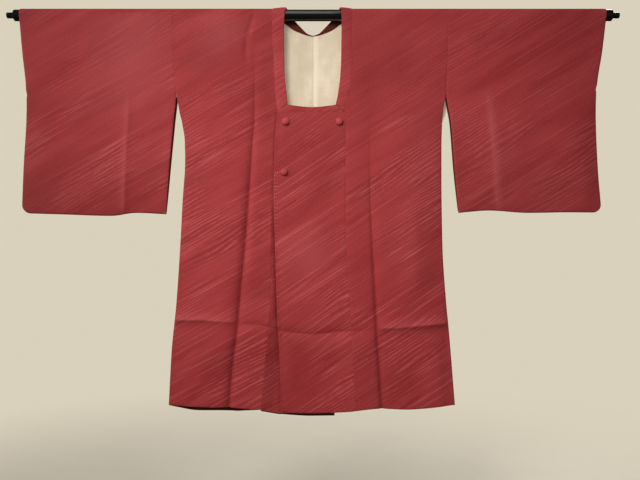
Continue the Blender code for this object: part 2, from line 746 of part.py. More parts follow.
def make_sleeve(side, name, material):
    """A length folded over the rod, its bottom and outer seams closed round a small tip."""
    sheet = Sheet()
    back = SLEEVE_ROWS + ARC_STEPS
    last = back + SLEEVE_ROWS
    corner = (SLEEVE_LAST, 0)
    for column in range(SLEEVE_LAST + 1):
        for row in range(SLEEVE_ROWS + 1):
            x, depth, z = sleeve_point(side, column, row)
            sheet.put((column, SLEEVE_ROWS - row), x, -depth, z)
            sheet.put((column, back + row), x, depth, z)
        bend_over_rod(sheet, column, SLEEVE_ROWS)
        x, y, z = sheet.points[(column, 0)]
        sheet.put(("foot", column), x, 0.0, z - SEAM_TIP)
    x, y, z = sheet.points[corner]
    slant = SEAM_TIP * math.sqrt(0.5)
    sheet.put(("edge", 0), x + side * slant, 0.0, z - slant)
    for row in range(1, SLEEVE_SEWN_ROWS + 1):
        x, y, z = sheet.points[(SLEEVE_LAST, row)]
        sheet.put(("edge", row), x + side * SEAM_TIP, 0.0, z)
    sheet.points.pop(("foot", SLEEVE_LAST))
    sheet.grid(range(SLEEVE_LAST + 1), range(last + 1))
    for column in range(SLEEVE_LAST):
        foot, foot_next = ("foot", column), ("foot", column + 1)
        if column + 1 == SLEEVE_LAST:
            foot_next = ("edge", 0)
        sheet.face((column, 0), (column + 1, 0), foot_next, foot)
        sheet.face(foot, foot_next, (column + 1, last), (column, last))
    sheet.close_side(SLEEVE_LAST, "edge", SLEEVE_SEWN_ROWS, last)
    return sheet.build(name, WALL, material)


# Turned pieces
def turned(name, profile, sides, material):
    """A profile of radius and height pairs, top to bottom, turned about Z."""
    mesh = bpy.data.meshes.new(name)
    points = [(radius, 0.0, height) for radius, height in profile]
    edges = [(number, number + 1) for number in range(len(points) - 1)]
    mesh.from_pydata(points, edges, [])
    new = add_object(name, mesh, material)
    screw = new.modifiers.new("Turn", "SCREW")
    screw.steps = sides
    screw.render_steps = sides
    screw.use_merge_vertices = True
    screw.merge_threshold = 0.00001
    return new


def make_rod(material):
    """A round rod with a thinner stub at each end, lying along X."""
    end = ROD_HALF_LENGTH + STUB_LENGTH
    half = (
        (0.0, end),
        (STUB_RADIUS, end),
        (STUB_RADIUS, ROD_HALF_LENGTH),
        (ROD_RADIUS - ROD_CHAMFER, ROD_HALF_LENGTH),
        (ROD_RADIUS, ROD_HALF_LENGTH - ROD_CHAMFER),
    )
    profile = half + tuple((radius, -height) for radius, height in reversed(half))
    rod = turned("rod", profile, ROD_SIDES, material)
    rod.rotation_euler = (0.0, math.pi / 2, 0.0)
    return rod


def make_button(button, material):
    """A low dome on a short rim, facing out from the top layer."""
    dome = BUTTON_HEIGHT - BUTTON_RIM
    profile = []
    for ring in range(BUTTON_RINGS + 1):
        angle = math.pi / 2 * ring / BUTTON_RINGS
        profile.append((BUTTON_RADIUS * math.sin(angle), BUTTON_RIM + dome * math.cos(angle)))
    profile += [(BUTTON_RADIUS - BUTTON_RIM / 2, 0.0), (0.0, 0.0)]
    new = turned(button.name, profile, BUTTON_SIDES, material)
    new.rotation_euler = (math.pi / 2, 0.0, 0.0)
    steps = (-BUTTON_RADIUS, 0.0, BUTTON_RADIUS)
    proud = max(overlap_depth(LEFT, button.x + across, button.z + up) for across in steps for up in steps)
    new.location = (button.x, -(proud + WALL / 2 + GAP), button.z)
    return new


def main():
    for old in list(bpy.data.objects):
        bpy.data.objects.remove(old, do_unlink=True)
    collection = bpy.data.collections.new(COLLECTION)
    bpy.context.scene.collection.children.link(collection)
    cloth = make_material("crimson cloth", CLOTH_COLOUR, 0.75)
    lining = make_material("cream lining", LINING_COLOUR, 0.70)
    black = make_material("black rod", ROD_COLOUR, 0.30, 0.6)
    make_rod(black)
    for side, word in ((RIGHT, "right"), (LEFT, "left")):
        make_body(side, "body_" + word, cloth)
        make_sleeve(side, "sleeve_" + word, cloth)
        make_okumi(side, "okumi_" + word, cloth)
        make_front_band(side, "collar_front_" + word, cloth)
        make_lining(side, "lining_" + word, lining)
    make_collar_band(cloth)
    for button in BUTTONS:
        make_button(button, cloth)


main()
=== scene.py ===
# %% [markdown]
# # A michiyuki coat on a rod
# A michiyuki is a light coat worn over a kimono: a square neck framed by a flat band,
# lapped fronts held by covered buttons, and wide sleeves that hang flat. This one is
# crimson cloth with brushed slanting streaks, lined in cream, and hangs over a black rod.
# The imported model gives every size, so the script starts by loading it.

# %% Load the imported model
import json
import math
from collections import namedtuple

import bmesh
import bpy
import numpy as np
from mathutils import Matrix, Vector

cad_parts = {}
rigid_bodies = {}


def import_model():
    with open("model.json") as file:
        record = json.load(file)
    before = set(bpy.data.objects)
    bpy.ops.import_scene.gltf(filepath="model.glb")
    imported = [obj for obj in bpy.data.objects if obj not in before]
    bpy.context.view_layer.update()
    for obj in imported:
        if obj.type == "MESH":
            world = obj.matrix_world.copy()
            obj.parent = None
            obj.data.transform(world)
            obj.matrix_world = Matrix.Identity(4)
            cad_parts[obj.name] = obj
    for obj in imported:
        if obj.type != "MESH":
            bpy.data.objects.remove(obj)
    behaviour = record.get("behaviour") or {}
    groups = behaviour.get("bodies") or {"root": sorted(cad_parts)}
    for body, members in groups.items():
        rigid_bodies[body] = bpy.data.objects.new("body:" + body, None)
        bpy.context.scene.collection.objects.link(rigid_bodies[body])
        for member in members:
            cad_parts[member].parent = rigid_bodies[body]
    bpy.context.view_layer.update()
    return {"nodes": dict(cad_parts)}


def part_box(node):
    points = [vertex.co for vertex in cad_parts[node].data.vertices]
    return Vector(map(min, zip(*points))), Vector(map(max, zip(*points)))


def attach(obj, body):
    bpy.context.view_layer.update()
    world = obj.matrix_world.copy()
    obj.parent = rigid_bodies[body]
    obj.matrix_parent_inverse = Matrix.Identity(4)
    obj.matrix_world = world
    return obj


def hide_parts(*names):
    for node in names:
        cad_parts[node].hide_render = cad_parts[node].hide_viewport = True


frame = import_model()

# %% [markdown]
# ## Camera
# A picture taken level and straight on keeps the coat's hems and seams square. Its lens
# is chosen from two sizes: how far back the camera stands, and how much cloth one
# picture point covers at the coat.

# %% Place the camera
PICTURE_WIDTH = 640
SENSOR = 36.0
POINT_SIZE = 0.0022165
CAMERA_BACK = 1.5
COAT_PLANE = 0.010
CAMERA_PLACE = (0.0155, -CAMERA_BACK, -0.501)

camera = bpy.data.objects.new("camera", bpy.data.cameras.new("camera"))
bpy.context.scene.collection.objects.link(camera)
camera.location = CAMERA_PLACE
camera.rotation_euler = (math.pi / 2, 0.0, 0.0)
camera.data.sensor_width = SENSOR
camera.data.lens = SENSOR / PICTURE_WIDTH * (CAMERA_BACK - COAT_PLANE) / POINT_SIZE
bpy.context.scene.camera = camera
print("lens", round(camera.data.lens, 2), "mm")

# %% [markdown]
# ## Sizes of the coat
# A tailor works from a sheet of measurements. Here each one is a short table with named
# columns, in metres: heights are measured down from the rod's centre line, places across
# from the middle of the neck, and the wearer's left is at positive X.

# %% Rod, walls and shared heights
ROD_RADIUS = 0.0125
WALL = 0.0012
LINING_WALL = 0.0010
GAP = 0.0003
PACKED_FLATS = 8
CLOTH_RADIUS = (ROD_RADIUS + GAP) / math.cos(math.pi / (2 * PACKED_FLATS)) + WALL / 2
SEAM_TIP = 0.003
UNDERARM_TOP = -0.173
UNDERARM_FOOT = -0.246
NECK_SEAM = -0.2105
RIGHT, LEFT = -1, 1
WORD = {RIGHT: "right", LEFT: "left"}
print("the cloth over the rod stands", round(CLOTH_RADIUS * 1000, 2), "mm from its centre line")

# %% Side seams of the body
Side = namedtuple("Side", "height front back")
BODY_SIDE = {
    RIGHT: (
        Side(0.000, -0.3147, -0.3147), Side(-0.036, -0.3136, -0.3136),
        Side(-0.173, -0.3030, -0.3030), Side(-0.213, -0.2970, -0.3000),
        Side(-0.246, -0.2904, -0.2904), Side(-0.275, -0.2860, -0.2860),
        Side(-0.324, -0.2848, -0.2848), Side(-0.412, -0.2904, -0.2904),
        Side(-0.512, -0.2957, -0.2957), Side(-0.647, -0.3048, -0.3048),
        Side(-0.745, -0.3147, -0.3147), Side(-0.869, -0.3214, -0.3214),
    ),
    LEFT: (
        Side(0.000, 0.3000, 0.3000), Side(-0.036, 0.2992, 0.2992),
        Side(-0.173, 0.2948, 0.2948), Side(-0.213, 0.2893, 0.2985),
        Side(-0.246, 0.2870, 0.2870), Side(-0.300, 0.2859, 0.2859),
        Side(-0.357, 0.2859, 0.2859), Side(-0.512, 0.2881, 0.2881),
        Side(-0.647, 0.2970, 0.2970), Side(-0.692, 0.3014, 0.3014),
        Side(-0.867, 0.3158, 0.3158),
    ),
}
print("body at the hem:", round(BODY_SIDE[LEFT][-1].front - BODY_SIDE[RIGHT][-1].front, 3), "m across")

# %% Front seams and the free edges of the overlaps
FrontSeam = namedtuple("FrontSeam", "height right left")
FRONT_SEAM = (
    FrontSeam(0.000, -0.0830, 0.0770), FrontSeam(-0.120, -0.0800, 0.0780),
    FrontSeam(-0.190, -0.0780, 0.0715), FrontSeam(-0.2105, -0.0772, 0.0695),
    FrontSeam(-0.228, -0.0778, 0.0718), FrontSeam(-0.392, -0.0900, 0.0723),
    FrontSeam(-0.539, -0.0925, 0.0743), FrontSeam(-0.625, -0.0942, 0.0807),
    FrontSeam(-0.705, -0.0990, 0.0842), FrontSeam(-0.774, -0.1060, 0.0891),
    FrontSeam(-0.880, -0.1150, 0.0931),
)
OverlapEdge = namedtuple("OverlapEdge", "height over under")
OVERLAP_EDGE = (
    OverlapEdge(-0.2105, -0.0780, 0.0480), OverlapEdge(-0.290, -0.0847, 0.0480),
    OverlapEdge(-0.390, -0.0860, 0.0478), OverlapEdge(-0.540, -0.0827, 0.0477),
    OverlapEdge(-0.687, -0.0775, 0.0477), OverlapEdge(-0.774, -0.0726, 0.0477),
    OverlapEdge(-0.890, -0.0695, 0.0477),
)
print("the fronts lap by", round(OVERLAP_EDGE[-1].under - OVERLAP_EDGE[-1].over, 3), "m at the hem")

# %% Hems and the crease left by storage
Across = namedtuple("Across", "across front under back crease")
ACROSS = (
    Across(-0.3214, -0.8682, -0.8682, -0.8700, -0.6835),
    Across(-0.2550, -0.8702, -0.8702, -0.8832, -0.6815),
    Across(-0.1880, -0.8708, -0.8708, -0.8842, -0.6855),
    Across(-0.1260, -0.8748, -0.8765, -0.8835, -0.6870),
    Across(-0.0720, -0.8796, -0.8880, -0.8720, -0.7000),
    Across(0.0000, -0.8822, -0.8922, -0.8725, -0.7075),
    Across(0.0690, -0.8798, -0.8912, -0.8735, -0.7015),
    Across(0.1500, -0.8732, -0.8732, -0.8750, -0.7000),
    Across(0.2130, -0.8748, -0.8748, -0.8768, -0.6960),
    Across(0.3160, -0.8682, -0.8682, -0.8695, -0.6870),
)
print("lowest hem at", min(min(row.front, row.under, row.back) for row in ACROSS))

# %% Neck opening and its band
BackNeck = namedtuple("BackNeck", "across seam upper lower")
BACK_NECK = (
    BackNeck(0.000, -0.0440, -0.0422, -0.0625), BackNeck(0.013, -0.0418, -0.0372, -0.0615),
    BackNeck(0.024, -0.0380, -0.0270, -0.0575), BackNeck(0.036, -0.0335, -0.0145, -0.0515),
    BackNeck(0.046, -0.0285, -0.0045, -0.0450), BackNeck(0.055, -0.0215, 0.0000, -0.0370),
    BackNeck(0.064, -0.0150, 0.0000, -0.0290), BackNeck(0.083, 0.0000, 0.0000, -0.0090),
    BackNeck(0.090, 0.0000, 0.0000, 0.0000),
)
Band = namedtuple("Band", "height right_in right_out left_in left_out")
BAND = (
    Band(0.000, -0.0625, -0.0905, 0.0635, 0.0850), Band(-0.022, -0.0640, -0.0905, 0.0636, 0.0845),
    Band(-0.070, -0.0643, -0.0890, 0.0632, 0.0850), Band(-0.102, -0.0638, -0.0865, 0.0625, 0.0855),
    Band(-0.135, -0.0632, -0.0850, 0.0610, 0.0845), Band(-0.157, -0.0612, -0.0845, 0.0588, 0.0830),
    Band(-0.186, -0.0580, -0.0825, 0.0545, 0.0770), Band(-0.202, -0.0567, -0.0790, 0.0510, 0.0720),
    Band(-0.218, -0.0560, -0.0776, 0.0500, 0.0698),
)
print("neck opening:", round(BAND[0].left_in - BAND[0].right_in, 3), "m at the top")

# %% How far the cloth stands from the rod's plane
Drape = namedtuple("Drape", "height edge front back sleeve")
DRAPE = (
    Drape(0.000, CLOTH_RADIUS, CLOTH_RADIUS, CLOTH_RADIUS, CLOTH_RADIUS),
    Drape(-0.040, 0.0132, 0.0138, 0.0136, 0.0132), Drape(-0.100, 0.0122, 0.0143, 0.0133, 0.0122),
    Drape(-0.175, 0.0104, 0.0150, 0.0130, 0.0104), Drape(-0.246, SEAM_TIP, 0.0156, 0.0127, 0.0094),
    Drape(-0.330, SEAM_TIP, 0.0160, 0.0124, 0.0088), Drape(-0.450, SEAM_TIP, 0.0166, 0.0124, 0.0084),
    Drape(-0.700, SEAM_TIP, 0.0178, 0.0130, 0.0084), Drape(-0.900, SEAM_TIP, 0.0190, 0.0140, 0.0084),
)
DRAPE_REACH = 0.120
print("the front stands", round(DRAPE[-1].front * 1000, 1), "mm from the rod's plane at the hem")

# %% [markdown]
# ## Reading the tables
# A pattern cutter joins marked points with a smooth curve that never swings past them.
# The same curve is used here: its slope at each row is a mean of the slopes beside it,
# and level where the values turn. All the helpers work on whole grids of points at once.

# %% Curve through a table
def read(rows, given, wanted, at):
    """A table's column at values of another column, on a smooth curve through its rows."""
    rows = sorted(rows, key=lambda row: getattr(row, given))
    keys = np.array([getattr(row, given) for row in rows])
    values = np.array([getattr(row, wanted) for row in rows])
    at = np.clip(at, keys[0], keys[-1])
    place = np.clip(np.searchsorted(keys, at, side="right") - 1, 0, len(keys) - 2)
    steps = np.diff(keys)
    slopes = np.diff(values) / steps
    before, after, near, far = slopes[:-1], slopes[1:], steps[:-1], steps[1:]
    turns = before * after <= 0
    mean = (2 * far + near) / np.where(turns, 1, before) + (far + 2 * near) / np.where(turns, 1, after)
    middle = np.where(turns, 0, 3 * (near + far) / mean)
    joints = np.concatenate([slopes[:1], middle, slopes[-1:]])
    part = (at - keys[place]) / steps[place]
    rest = 1 - part
    return (values[place] * rest * rest * (1 + 2 * part)
            + values[place + 1] * part * part * (3 - 2 * part)
            + steps[place] * part * rest * (joints[place] * rest - joints[place + 1] * part))


def ease(value):
    """0 to 1, with level ends."""
    value = np.clip(value, 0, 1)
    return value * value * (3 - 2 * value)


def rise(distance, reach):
    """0 at an edge, rising to 1 at the reach along a rounded shoulder."""
    return 1 - (1 - np.clip(distance / reach, 0, 1)) ** 2


print("side seam at 0.5 m down:", round(float(read(BODY_SIDE[LEFT], "height", "front", -0.5)), 4))

# %% Grids between key lines
def between(keys, stations, axis):
    """Values at stations that count along key lines, part way between two of them."""
    keys = np.stack(np.broadcast_arrays(*keys))
    place = np.minimum(stations.astype(int), len(keys) - 2)
    part = stations - place
    along = np.arange(len(stations))
    if axis == 0:
        part = part[:, None]
        return keys[place, along, :] * (1 - part) + keys[place + 1, along, :] * part
    return (keys[place, :, along].T * (1 - part)) + keys[place + 1, :, along].T * part


def stations(*counts):
    """Stations from 0, with a count of steps to each next one; a negative count crowds its ends."""
    found = []
    for start, count in enumerate(counts):
        share = np.arange(abs(count)) / abs(count)
        if count < 0:
            share = (1 - np.cos(np.pi * share)) / 2
        found.append(start + share)
    return np.concatenate(found + [[len(counts)]])


print("six steps with crowded ends:", np.round(stations(-6), 2).tolist())

# %% [markdown]
# ## Creases and folds
# Cloth that was stored folded keeps soft lines: one level crease across the skirt, and
# folds that run down from the shoulders. Each is one row of a table: the points it passes
# through, how high it stands or how deep it sinks, how wide each flank is, how soft its
# line is, and over what length it grows.

# %% Tables of creases
Crease = namedtuple("Crease", "height left right soft grow points")
RIGHT_FOLD = Crease(-0.0100, 0.0066, 0.0050, 0.0006, 0.560, (
    (-0.1215, -0.020), (-0.1274, -0.075), (-0.1294, -0.239), (-0.1354, -0.308), (-0.1420, -0.401),
    (-0.1514, -0.519), (-0.1601, -0.603), (-0.1672, -0.687), (-0.1782, -0.774), (-0.1866, -0.871),
    (-0.1938, -0.950)))
LEFT_FOLD = Crease(-0.0062, 0.0044, 0.0075, 0.0007, 0.660, (
    (0.1250, -0.170), (0.1262, -0.286), (0.1268, -0.412), (0.1315, -0.519), (0.1372, -0.625),
    (0.1411, -0.709), (0.1451, -0.774), (0.1517, -0.871), (0.1570, -0.950)))
BACK_RIGHT_FOLD = Crease(-0.0044, 0.0065, 0.0150, 0.0014, 0.500, (
    (-0.1250, -0.060), (-0.1275, -0.200), (-0.1360, -0.380), (-0.1470, -0.560), (-0.1590, -0.720),
    (-0.1700, -0.872), (-0.1760, -0.950)))
BACK_LEFT_FOLD = Crease(-0.0048, 0.0140, 0.0060, 0.0014, 0.480, (
    (0.1220, -0.050), (0.1240, -0.210), (0.1315, -0.390), (0.1400, -0.560), (0.1480, -0.720),
    (0.1560, -0.872), (0.1610, -0.950)))
FOLD = {(RIGHT, "front"): RIGHT_FOLD, (LEFT, "front"): LEFT_FOLD,
        (RIGHT, "back"): BACK_RIGHT_FOLD, (LEFT, "back"): BACK_LEFT_FOLD}
CREASES = {
    "front": (
        RIGHT_FOLD, LEFT_FOLD,
        Crease(-0.0016, 0.026, 0.006, 0.004, 0.30, RIGHT_FOLD.points),
        Crease(-0.0040, 0.005, 0.005, 0.0008, 0.01, (
            (-0.1300, 0.000), (-0.1400, -0.034), (-0.1490, -0.070), (-0.1500, -0.130))),
        Crease(0.0014, 0.018, 0.026, 0.012, 0.12, ((-0.2520, -0.300), (-0.2440, -0.470), (-0.2380, -0.660))),
        Crease(-0.0018, 0.020, 0.012, 0.004, 0.12, ((-0.2150, -0.560), (-0.2300, -0.700), (-0.2480, -0.950))),
        Crease(-0.0016, 0.008, 0.008, 0.004, 0.08, ((-0.2800, -0.720), (-0.2880, -0.800), (-0.2960, -0.950))),
        Crease(0.0013, 0.022, 0.014, 0.010, 0.14, ((0.2180, -0.250), (0.2260, -0.460), (0.2320, -0.640))),
        Crease(-0.0018, 0.014, 0.022, 0.005, 0.12, ((0.2050, -0.600), (0.2200, -0.760), (0.2420, -0.950))),
        Crease(0.0014, 0.014, 0.009, 0.006, 0.08, ((0.2700, -0.690), (0.2810, -0.800), (0.2940, -0.950))),
        Crease(0.0010, 0.024, 0.016, 0.012, 0.14, ((0.0220, -0.300), (0.0160, -0.480), (0.0060, -0.690))),
        Crease(-0.0014, 0.020, 0.028, 0.008, 0.12, ((-0.0150, -0.600), (0.0020, -0.760), (0.0150, -0.950))),
        Crease(-0.0011, 0.014, 0.010, 0.006, 0.05, ((0.1800, -0.030), (0.2150, -0.110), (0.2600, -0.190))),
        Crease(-0.0011, 0.010, 0.014, 0.006, 0.05, ((-0.2000, -0.030), (-0.2350, -0.120), (-0.2700, -0.200))),
    ),
    "back": (
        BACK_RIGHT_FOLD, BACK_LEFT_FOLD,
        Crease(0.0014, 0.022, 0.016, 0.010, 0.12, ((-0.2450, -0.260), (-0.2400, -0.450), (-0.2320, -0.640))),
        Crease(-0.0014, 0.018, 0.014, 0.006, 0.12, ((-0.0620, -0.180), (-0.0660, -0.360), (-0.0720, -0.600))),
        Crease(0.0013, 0.016, 0.022, 0.008, 0.12, ((0.0540, -0.240), (0.0600, -0.420), (0.0680, -0.650))),
        Crease(-0.0016, 0.014, 0.020, 0.006, 0.12, ((0.2300, -0.300), (0.2260, -0.480), (0.2200, -0.660))),
        Crease(0.0015, 0.016, 0.012, 0.006, 0.10, ((0.2450, -0.640), (0.2560, -0.780), (0.2700, -0.950))),
        Crease(-0.0016, 0.014, 0.018, 0.006, 0.10, ((-0.2500, -0.640), (-0.2640, -0.780), (-0.2800, -0.950))),
        Crease(0.0012, 0.018, 0.014, 0.008, 0.08, ((-0.0350, -0.700), (-0.0450, -0.800), (-0.0560, -0.950))),
        Crease(-0.0012, 0.012, 0.012, 0.006, 0.05, ((0.0950, -0.060), (0.1500, -0.130), (0.2000, -0.200))),
        Crease(-0.0012, 0.012, 0.012, 0.006, 0.05, ((-0.0950, -0.060), (-0.1500, -0.120), (-0.2100, -0.190))),
    ),
}
print("creases on the body:", {face: len(rows) for face, rows in CREASES.items()})

# %% Shape of a crease
CREASE_FOOT_FADE = 0.06


def crease_line(crease, z):
    """Place across of a crease's line at heights."""
    points = np.array(crease.points)
    return np.interp(-z, -points[:, 1], points[:, 0])


def crease_height(crease, x, z):
    """How far one crease moves the cloth out (positive) or in; it is rounded over its soft width."""
    away = x - crease_line(crease, z)
    flank = np.where(away < 0, crease.left, crease.right)
    bump = crease.height * np.exp(-(np.hypot(away, crease.soft) - crease.soft) / flank)
    start, end = crease.points[0][1], crease.points[-1][1]
    return bump * ease((start - z) / crease.grow) * ease((z - end) / CREASE_FOOT_FADE)


for fold in (RIGHT_FOLD, LEFT_FOLD):
    deep = float(crease_height(fold, crease_line(fold, -0.5), -0.5))
    print("fold at 0.5 m down:", round(deep * 1000, 1), "mm")

# %% [markdown]
# ## Painted light and shade along lines, and soft painted tones
# Along the pressed lines the colour is painted paler where a crest should catch the light,
# and darker where a fold or an edge should throw shade. Hand-wide patches are also painted
# paler or darker where the coat should be lit more or less. A number kept with each point of
# the cloth is easier to change than a painted picture: above 0 the material mixes in its pale colour, and
# below 0 its dark one.

# %% Tables of pressed lines
Press = namedtuple("Press", "size left right grow points")
PRESS_END = 0.02


def beside_edge(away, first, last):
    """Points of a line beside the top overlap's edge, from one row of its table to another."""
    return tuple((row.over + away, row.height) for row in OVERLAP_EDGE[first:last])


# Lines of painted highlight (positive sizes) and painted shade (negative sizes), such as the shade beside the
# top overlap's edge.
PAINTED_LINE_LIGHT = {
    "right body": (
        Press(0.30, 0.0040, 0.0012, 0.01, ((-0.1310, -0.002), (-0.1410, -0.034), (-0.1500, -0.070))),
        Press(-0.55, 0.0026, 0.0026, 0.01, (
            (-0.0802, -0.214), (-0.0834, -0.250), (-0.0864, -0.290), (-0.0868, -0.335))),
    ),
    "left body": (Press(-0.22, 0.0040, 0.0060, 0.50, tuple((x - 0.0012, z) for x, z in LEFT_FOLD.points)),),
    "top overlap": (
        Press(-0.32, 0.0200, 0.0300, 0.03, ((-0.0380, -0.712), (-0.0380, -0.845))),
        Press(-0.28, 0.0030, 0.0040, 0.01, beside_edge(0.0015, 0, 7)),
    ),
    "under overlap": (Press(-0.60, 0.0060, 0.0060, 0.09, beside_edge(-0.0025, 2, 5)),),
    "right sleeve": (Press(0.19, 0.0095, 0.0040, 0.06, (
        (-0.4080, -0.165), (-0.4165, -0.324), (-0.4222, -0.434), (-0.4250, -0.520))),),
    "left sleeve": (Press(0.30, 0.0070, 0.0100, 0.06, (
        (0.3868, -0.155), (0.4030, -0.312), (0.4116, -0.434), (0.4160, -0.520))),),
}
print("pieces with pressed lines:", ", ".join(PAINTED_LINE_LIGHT))

# %% Soft painted light and shade, and both together
Tone = namedtuple("Tone", "size across height half_across half_height slant", defaults=(0.0,))
# Soft patches of painted light (positive sizes) and painted shade (negative sizes).
PAINTED_TONES = {
    "right sleeve": (Tone(0.30, -0.398, -0.070, 0.085, 0.130), Tone(-0.16, -0.620, -0.400, 0.080, 0.060)),
    "left sleeve": (Tone(0.14, 0.420, -0.300, 0.100, 0.075), Tone(-0.10, 0.560, -0.170, 0.060, 0.070)),
    "right body": (Tone(0.24, -0.205, -0.035, 0.050, 0.060), Tone(-0.26, -0.085, -0.180, 0.040, 0.170),
                   Tone(-0.08, -0.230, -0.780, 0.050, 0.080), Tone(-0.16, -0.260, -0.400, 0.070, 0.080)),
    "left body": (Tone(-0.20, 0.110, -0.110, 0.090, 0.130), Tone(0.16, 0.245, -0.300, 0.045, 0.110),
                  Tone(0.10, 0.215, -0.500, 0.045, 0.110), Tone(-0.20, 0.150, -0.830, 0.110, 0.055)),
    "top overlap": (Tone(-0.18, 0.010, -0.300, 0.100, 0.110), Tone(0.30, -0.020, -0.525, 0.070, 0.050),
                    Tone(-0.28, 0.006, -0.402, 0.060, 0.020, slant=1.0),
                    Tone(-0.10, 0.000, -0.745, 0.080, 0.040)),
}
print("soft tones:", sum(len(rows) for rows in PAINTED_TONES.values()))


def painted_light_and_shade(piece, x, z):
    """Painted light and shade along a piece's pressed lines, and its soft painted tones: positive pale,
    negative dark.
    """
    total = 0.0 * x
    for tone in PAINTED_TONES.get(piece, ()):
        up = z - tone.height - tone.slant * (x - tone.across)
        off = ((x - tone.across) / tone.half_across) ** 2 + (up / tone.half_height) ** 2
        total = total + tone.size * np.exp(-off)
    for line in PAINTED_LINE_LIGHT.get(piece, ()):
        away = x - crease_line(line, z)
        reach = np.where(away < 0, line.left, line.right)
        start, end = line.points[0][1], line.points[-1][1]
        ends = ease((start - z) / line.grow) * ease((z - end) / PRESS_END)
        total = total + line.size * np.exp(-(away / reach) ** 2) * ends
    return total

# %% [markdown]
# ## Level crease and slow waves
# The coat was stored folded across the skirt. Outside the long folds that line stands out as
# a crest, and between them it is a valley. It could be a crease like the others, but it falls
# off differently above and below, so it has curves of its own. Under everything the cloth
# hangs in slow shallow waves: a few sines of random length and direction.

# %% The level crease
Level = namedtuple("Level", "across size")
LEVEL_CREASE = (
    Level(-0.3214, 1.20), Level(-0.2550, 1.05), Level(-0.2150, 0.75), Level(-0.1800, 0.55),
    Level(-0.1672, 0.00), Level(-0.1500, -0.90), Level(-0.0950, -0.90), Level(-0.0600, -0.90),
    Level(0.0000, -1.10), Level(0.0500, -1.30), Level(0.0850, -0.65), Level(0.1250, -0.45),
    Level(0.1411, 0.00), Level(0.1550, 0.80), Level(0.2130, 0.95), Level(0.2600, 1.20),
    Level(0.3158, 1.40),
)
CREST, CREST_LINE, CREST_UP, CREST_DROP, CREST_SHARP = 0.0052, 0.0035, 0.014, 0.0032, 0.0042
CREST_TAIL, CREST_TAIL_DOWN, CREST_SUNK, CREST_SUNK_DOWN = 0.0062, 0.014, 0.0042, 0.060
VALLEY, VALLEY_LINE, VALLEY_SOFT, VALLEY_UP, VALLEY_DOWN = 0.0046, -0.0010, 0.0006, 0.010, 0.014
# Painted light and shade of the level crease: a pale line above a crest, a dark one below it, and a dull line
# along a valley.
PALE_SIZE, PALE_LINE, DARK_SIZE, DARK_LINE, LEVEL_WIDTH = 0.18, 0.0075, 0.16, -0.0060, 0.010
DULL_SIZE, DULL_LINE, DULL_WIDTH = 0.10, 0.0015, 0.0060


def store_crease(x, z):
    """The level crease: a crest outside the folds and a valley between them, as the coat was stacked."""
    size = read(LEVEL_CREASE, "across", "size", x)
    up = z - read(ACROSS, "across", "crease", x)
    over_crest = up - CREST_LINE
    down = np.clip(-over_crest, 0, None)
    crest = np.where(over_crest > 0, CREST * np.exp(-np.clip(over_crest, 0, None) / CREST_UP),
                     CREST_DROP * np.exp(-down / CREST_SHARP) + CREST_TAIL * np.exp(-down / CREST_TAIL_DOWN)
                     - CREST_SUNK * np.exp(-down / CREST_SUNK_DOWN))
    over_valley = up - VALLEY_LINE
    reach = np.where(over_valley > 0, VALLEY_UP, VALLEY_DOWN)
    valley = VALLEY * np.exp(-np.hypot(over_valley, VALLEY_SOFT) / reach)
    return np.clip(size, 0, None) * crest + np.clip(size, None, 0) * valley


def level_painted_light(x, z):
    """Painted light and shade along the level crease: a crest is painted pale above its line and dark below,
    a valley is painted dull.
    """
    size = read(LEVEL_CREASE, "across", "size", x)
    up = z - read(ACROSS, "across", "crease", x)
    pale = np.exp(-((up - PALE_LINE) / LEVEL_WIDTH) ** 2)
    dark = np.exp(-((up - DARK_LINE) / LEVEL_WIDTH) ** 2)
    dull = np.exp(-((up - DULL_LINE) / DULL_WIDTH) ** 2)
    return (np.clip(size, 0, None) * (PALE_SIZE * pale - DARK_SIZE * dark)
            + np.clip(size, None, 0) * DULL_SIZE * dull)


print("level crease:", len(LEVEL_CREASE), "places across, crests up to",
      round(max(row.size for row in LEVEL_CREASE) * CREST * 1000, 1), "mm")

# %% Slow waves of hanging cloth
WAVE_SIZE, WAVES_START = 0.00032, 0.25
waves = np.random.default_rng(17)
WAVES = [(2 * math.pi / waves.uniform(0.06, 0.20), 2 * math.pi / waves.uniform(0.22, 0.80),
          waves.uniform(-0.9, 0.9), waves.uniform(0, 2 * math.pi)) for _ in range(10)]


def slow_waves(x, z, shift=0.0):
    """Shallow waves, longer down the cloth than across it."""
    total = sum(np.sin(across * (x + shift) + lean * down * z + turn) * np.cos(down * z + 2 * turn)
                for across, down, lean, turn in WAVES)
    return WAVE_SIZE * total * ease(-z / WAVES_START)


print("waves:", len(WAVES), "with the longest", round(2 * math.pi / min(wave[1] for wave in WAVES), 2), "m")

# %% [markdown]
# ## How the cloth hangs
# The front and the back hang flat on both sides of the rod and meet at the side seams, so
# the depth of each point comes from its height, its distance from the side, and the
# creases. Where the fronts cross, the top layer stands proud of the under layer. At every
# seam the cloth dips a little, and at every free edge it rolls in, because edges are turned.

# %% Depth of the body
OVER_LIFT, UNDER_LIFT = 0.0030, -0.0010
CROSS_HALF, CROSS_FADE, STAND_DROP = 0.085, 0.060, 0.060
FREE_EDGE_LIFT, FREE_EDGE_REACH = 0.0030, 0.050
SEAM_DIP, SEAM_DIP_WIDTH = 0.0004, 0.0020
EDGE_ROLL, EDGE_ROLL_WIDTH = 0.0012, 0.0018
TOP_FADE, CREASE_SIDE_FADE, BACK_SHIFT = 0.03, 0.016, 1.7


def dip(distance):
    """How far the cloth dips beside a seam."""
    return SEAM_DIP * np.exp(-(distance / SEAM_DIP_WIDTH) ** 2)


def roll(distance):
    """How far the cloth rolls in at a free edge."""
    return EDGE_ROLL * np.exp(-np.abs(distance) / EDGE_ROLL_WIDTH)


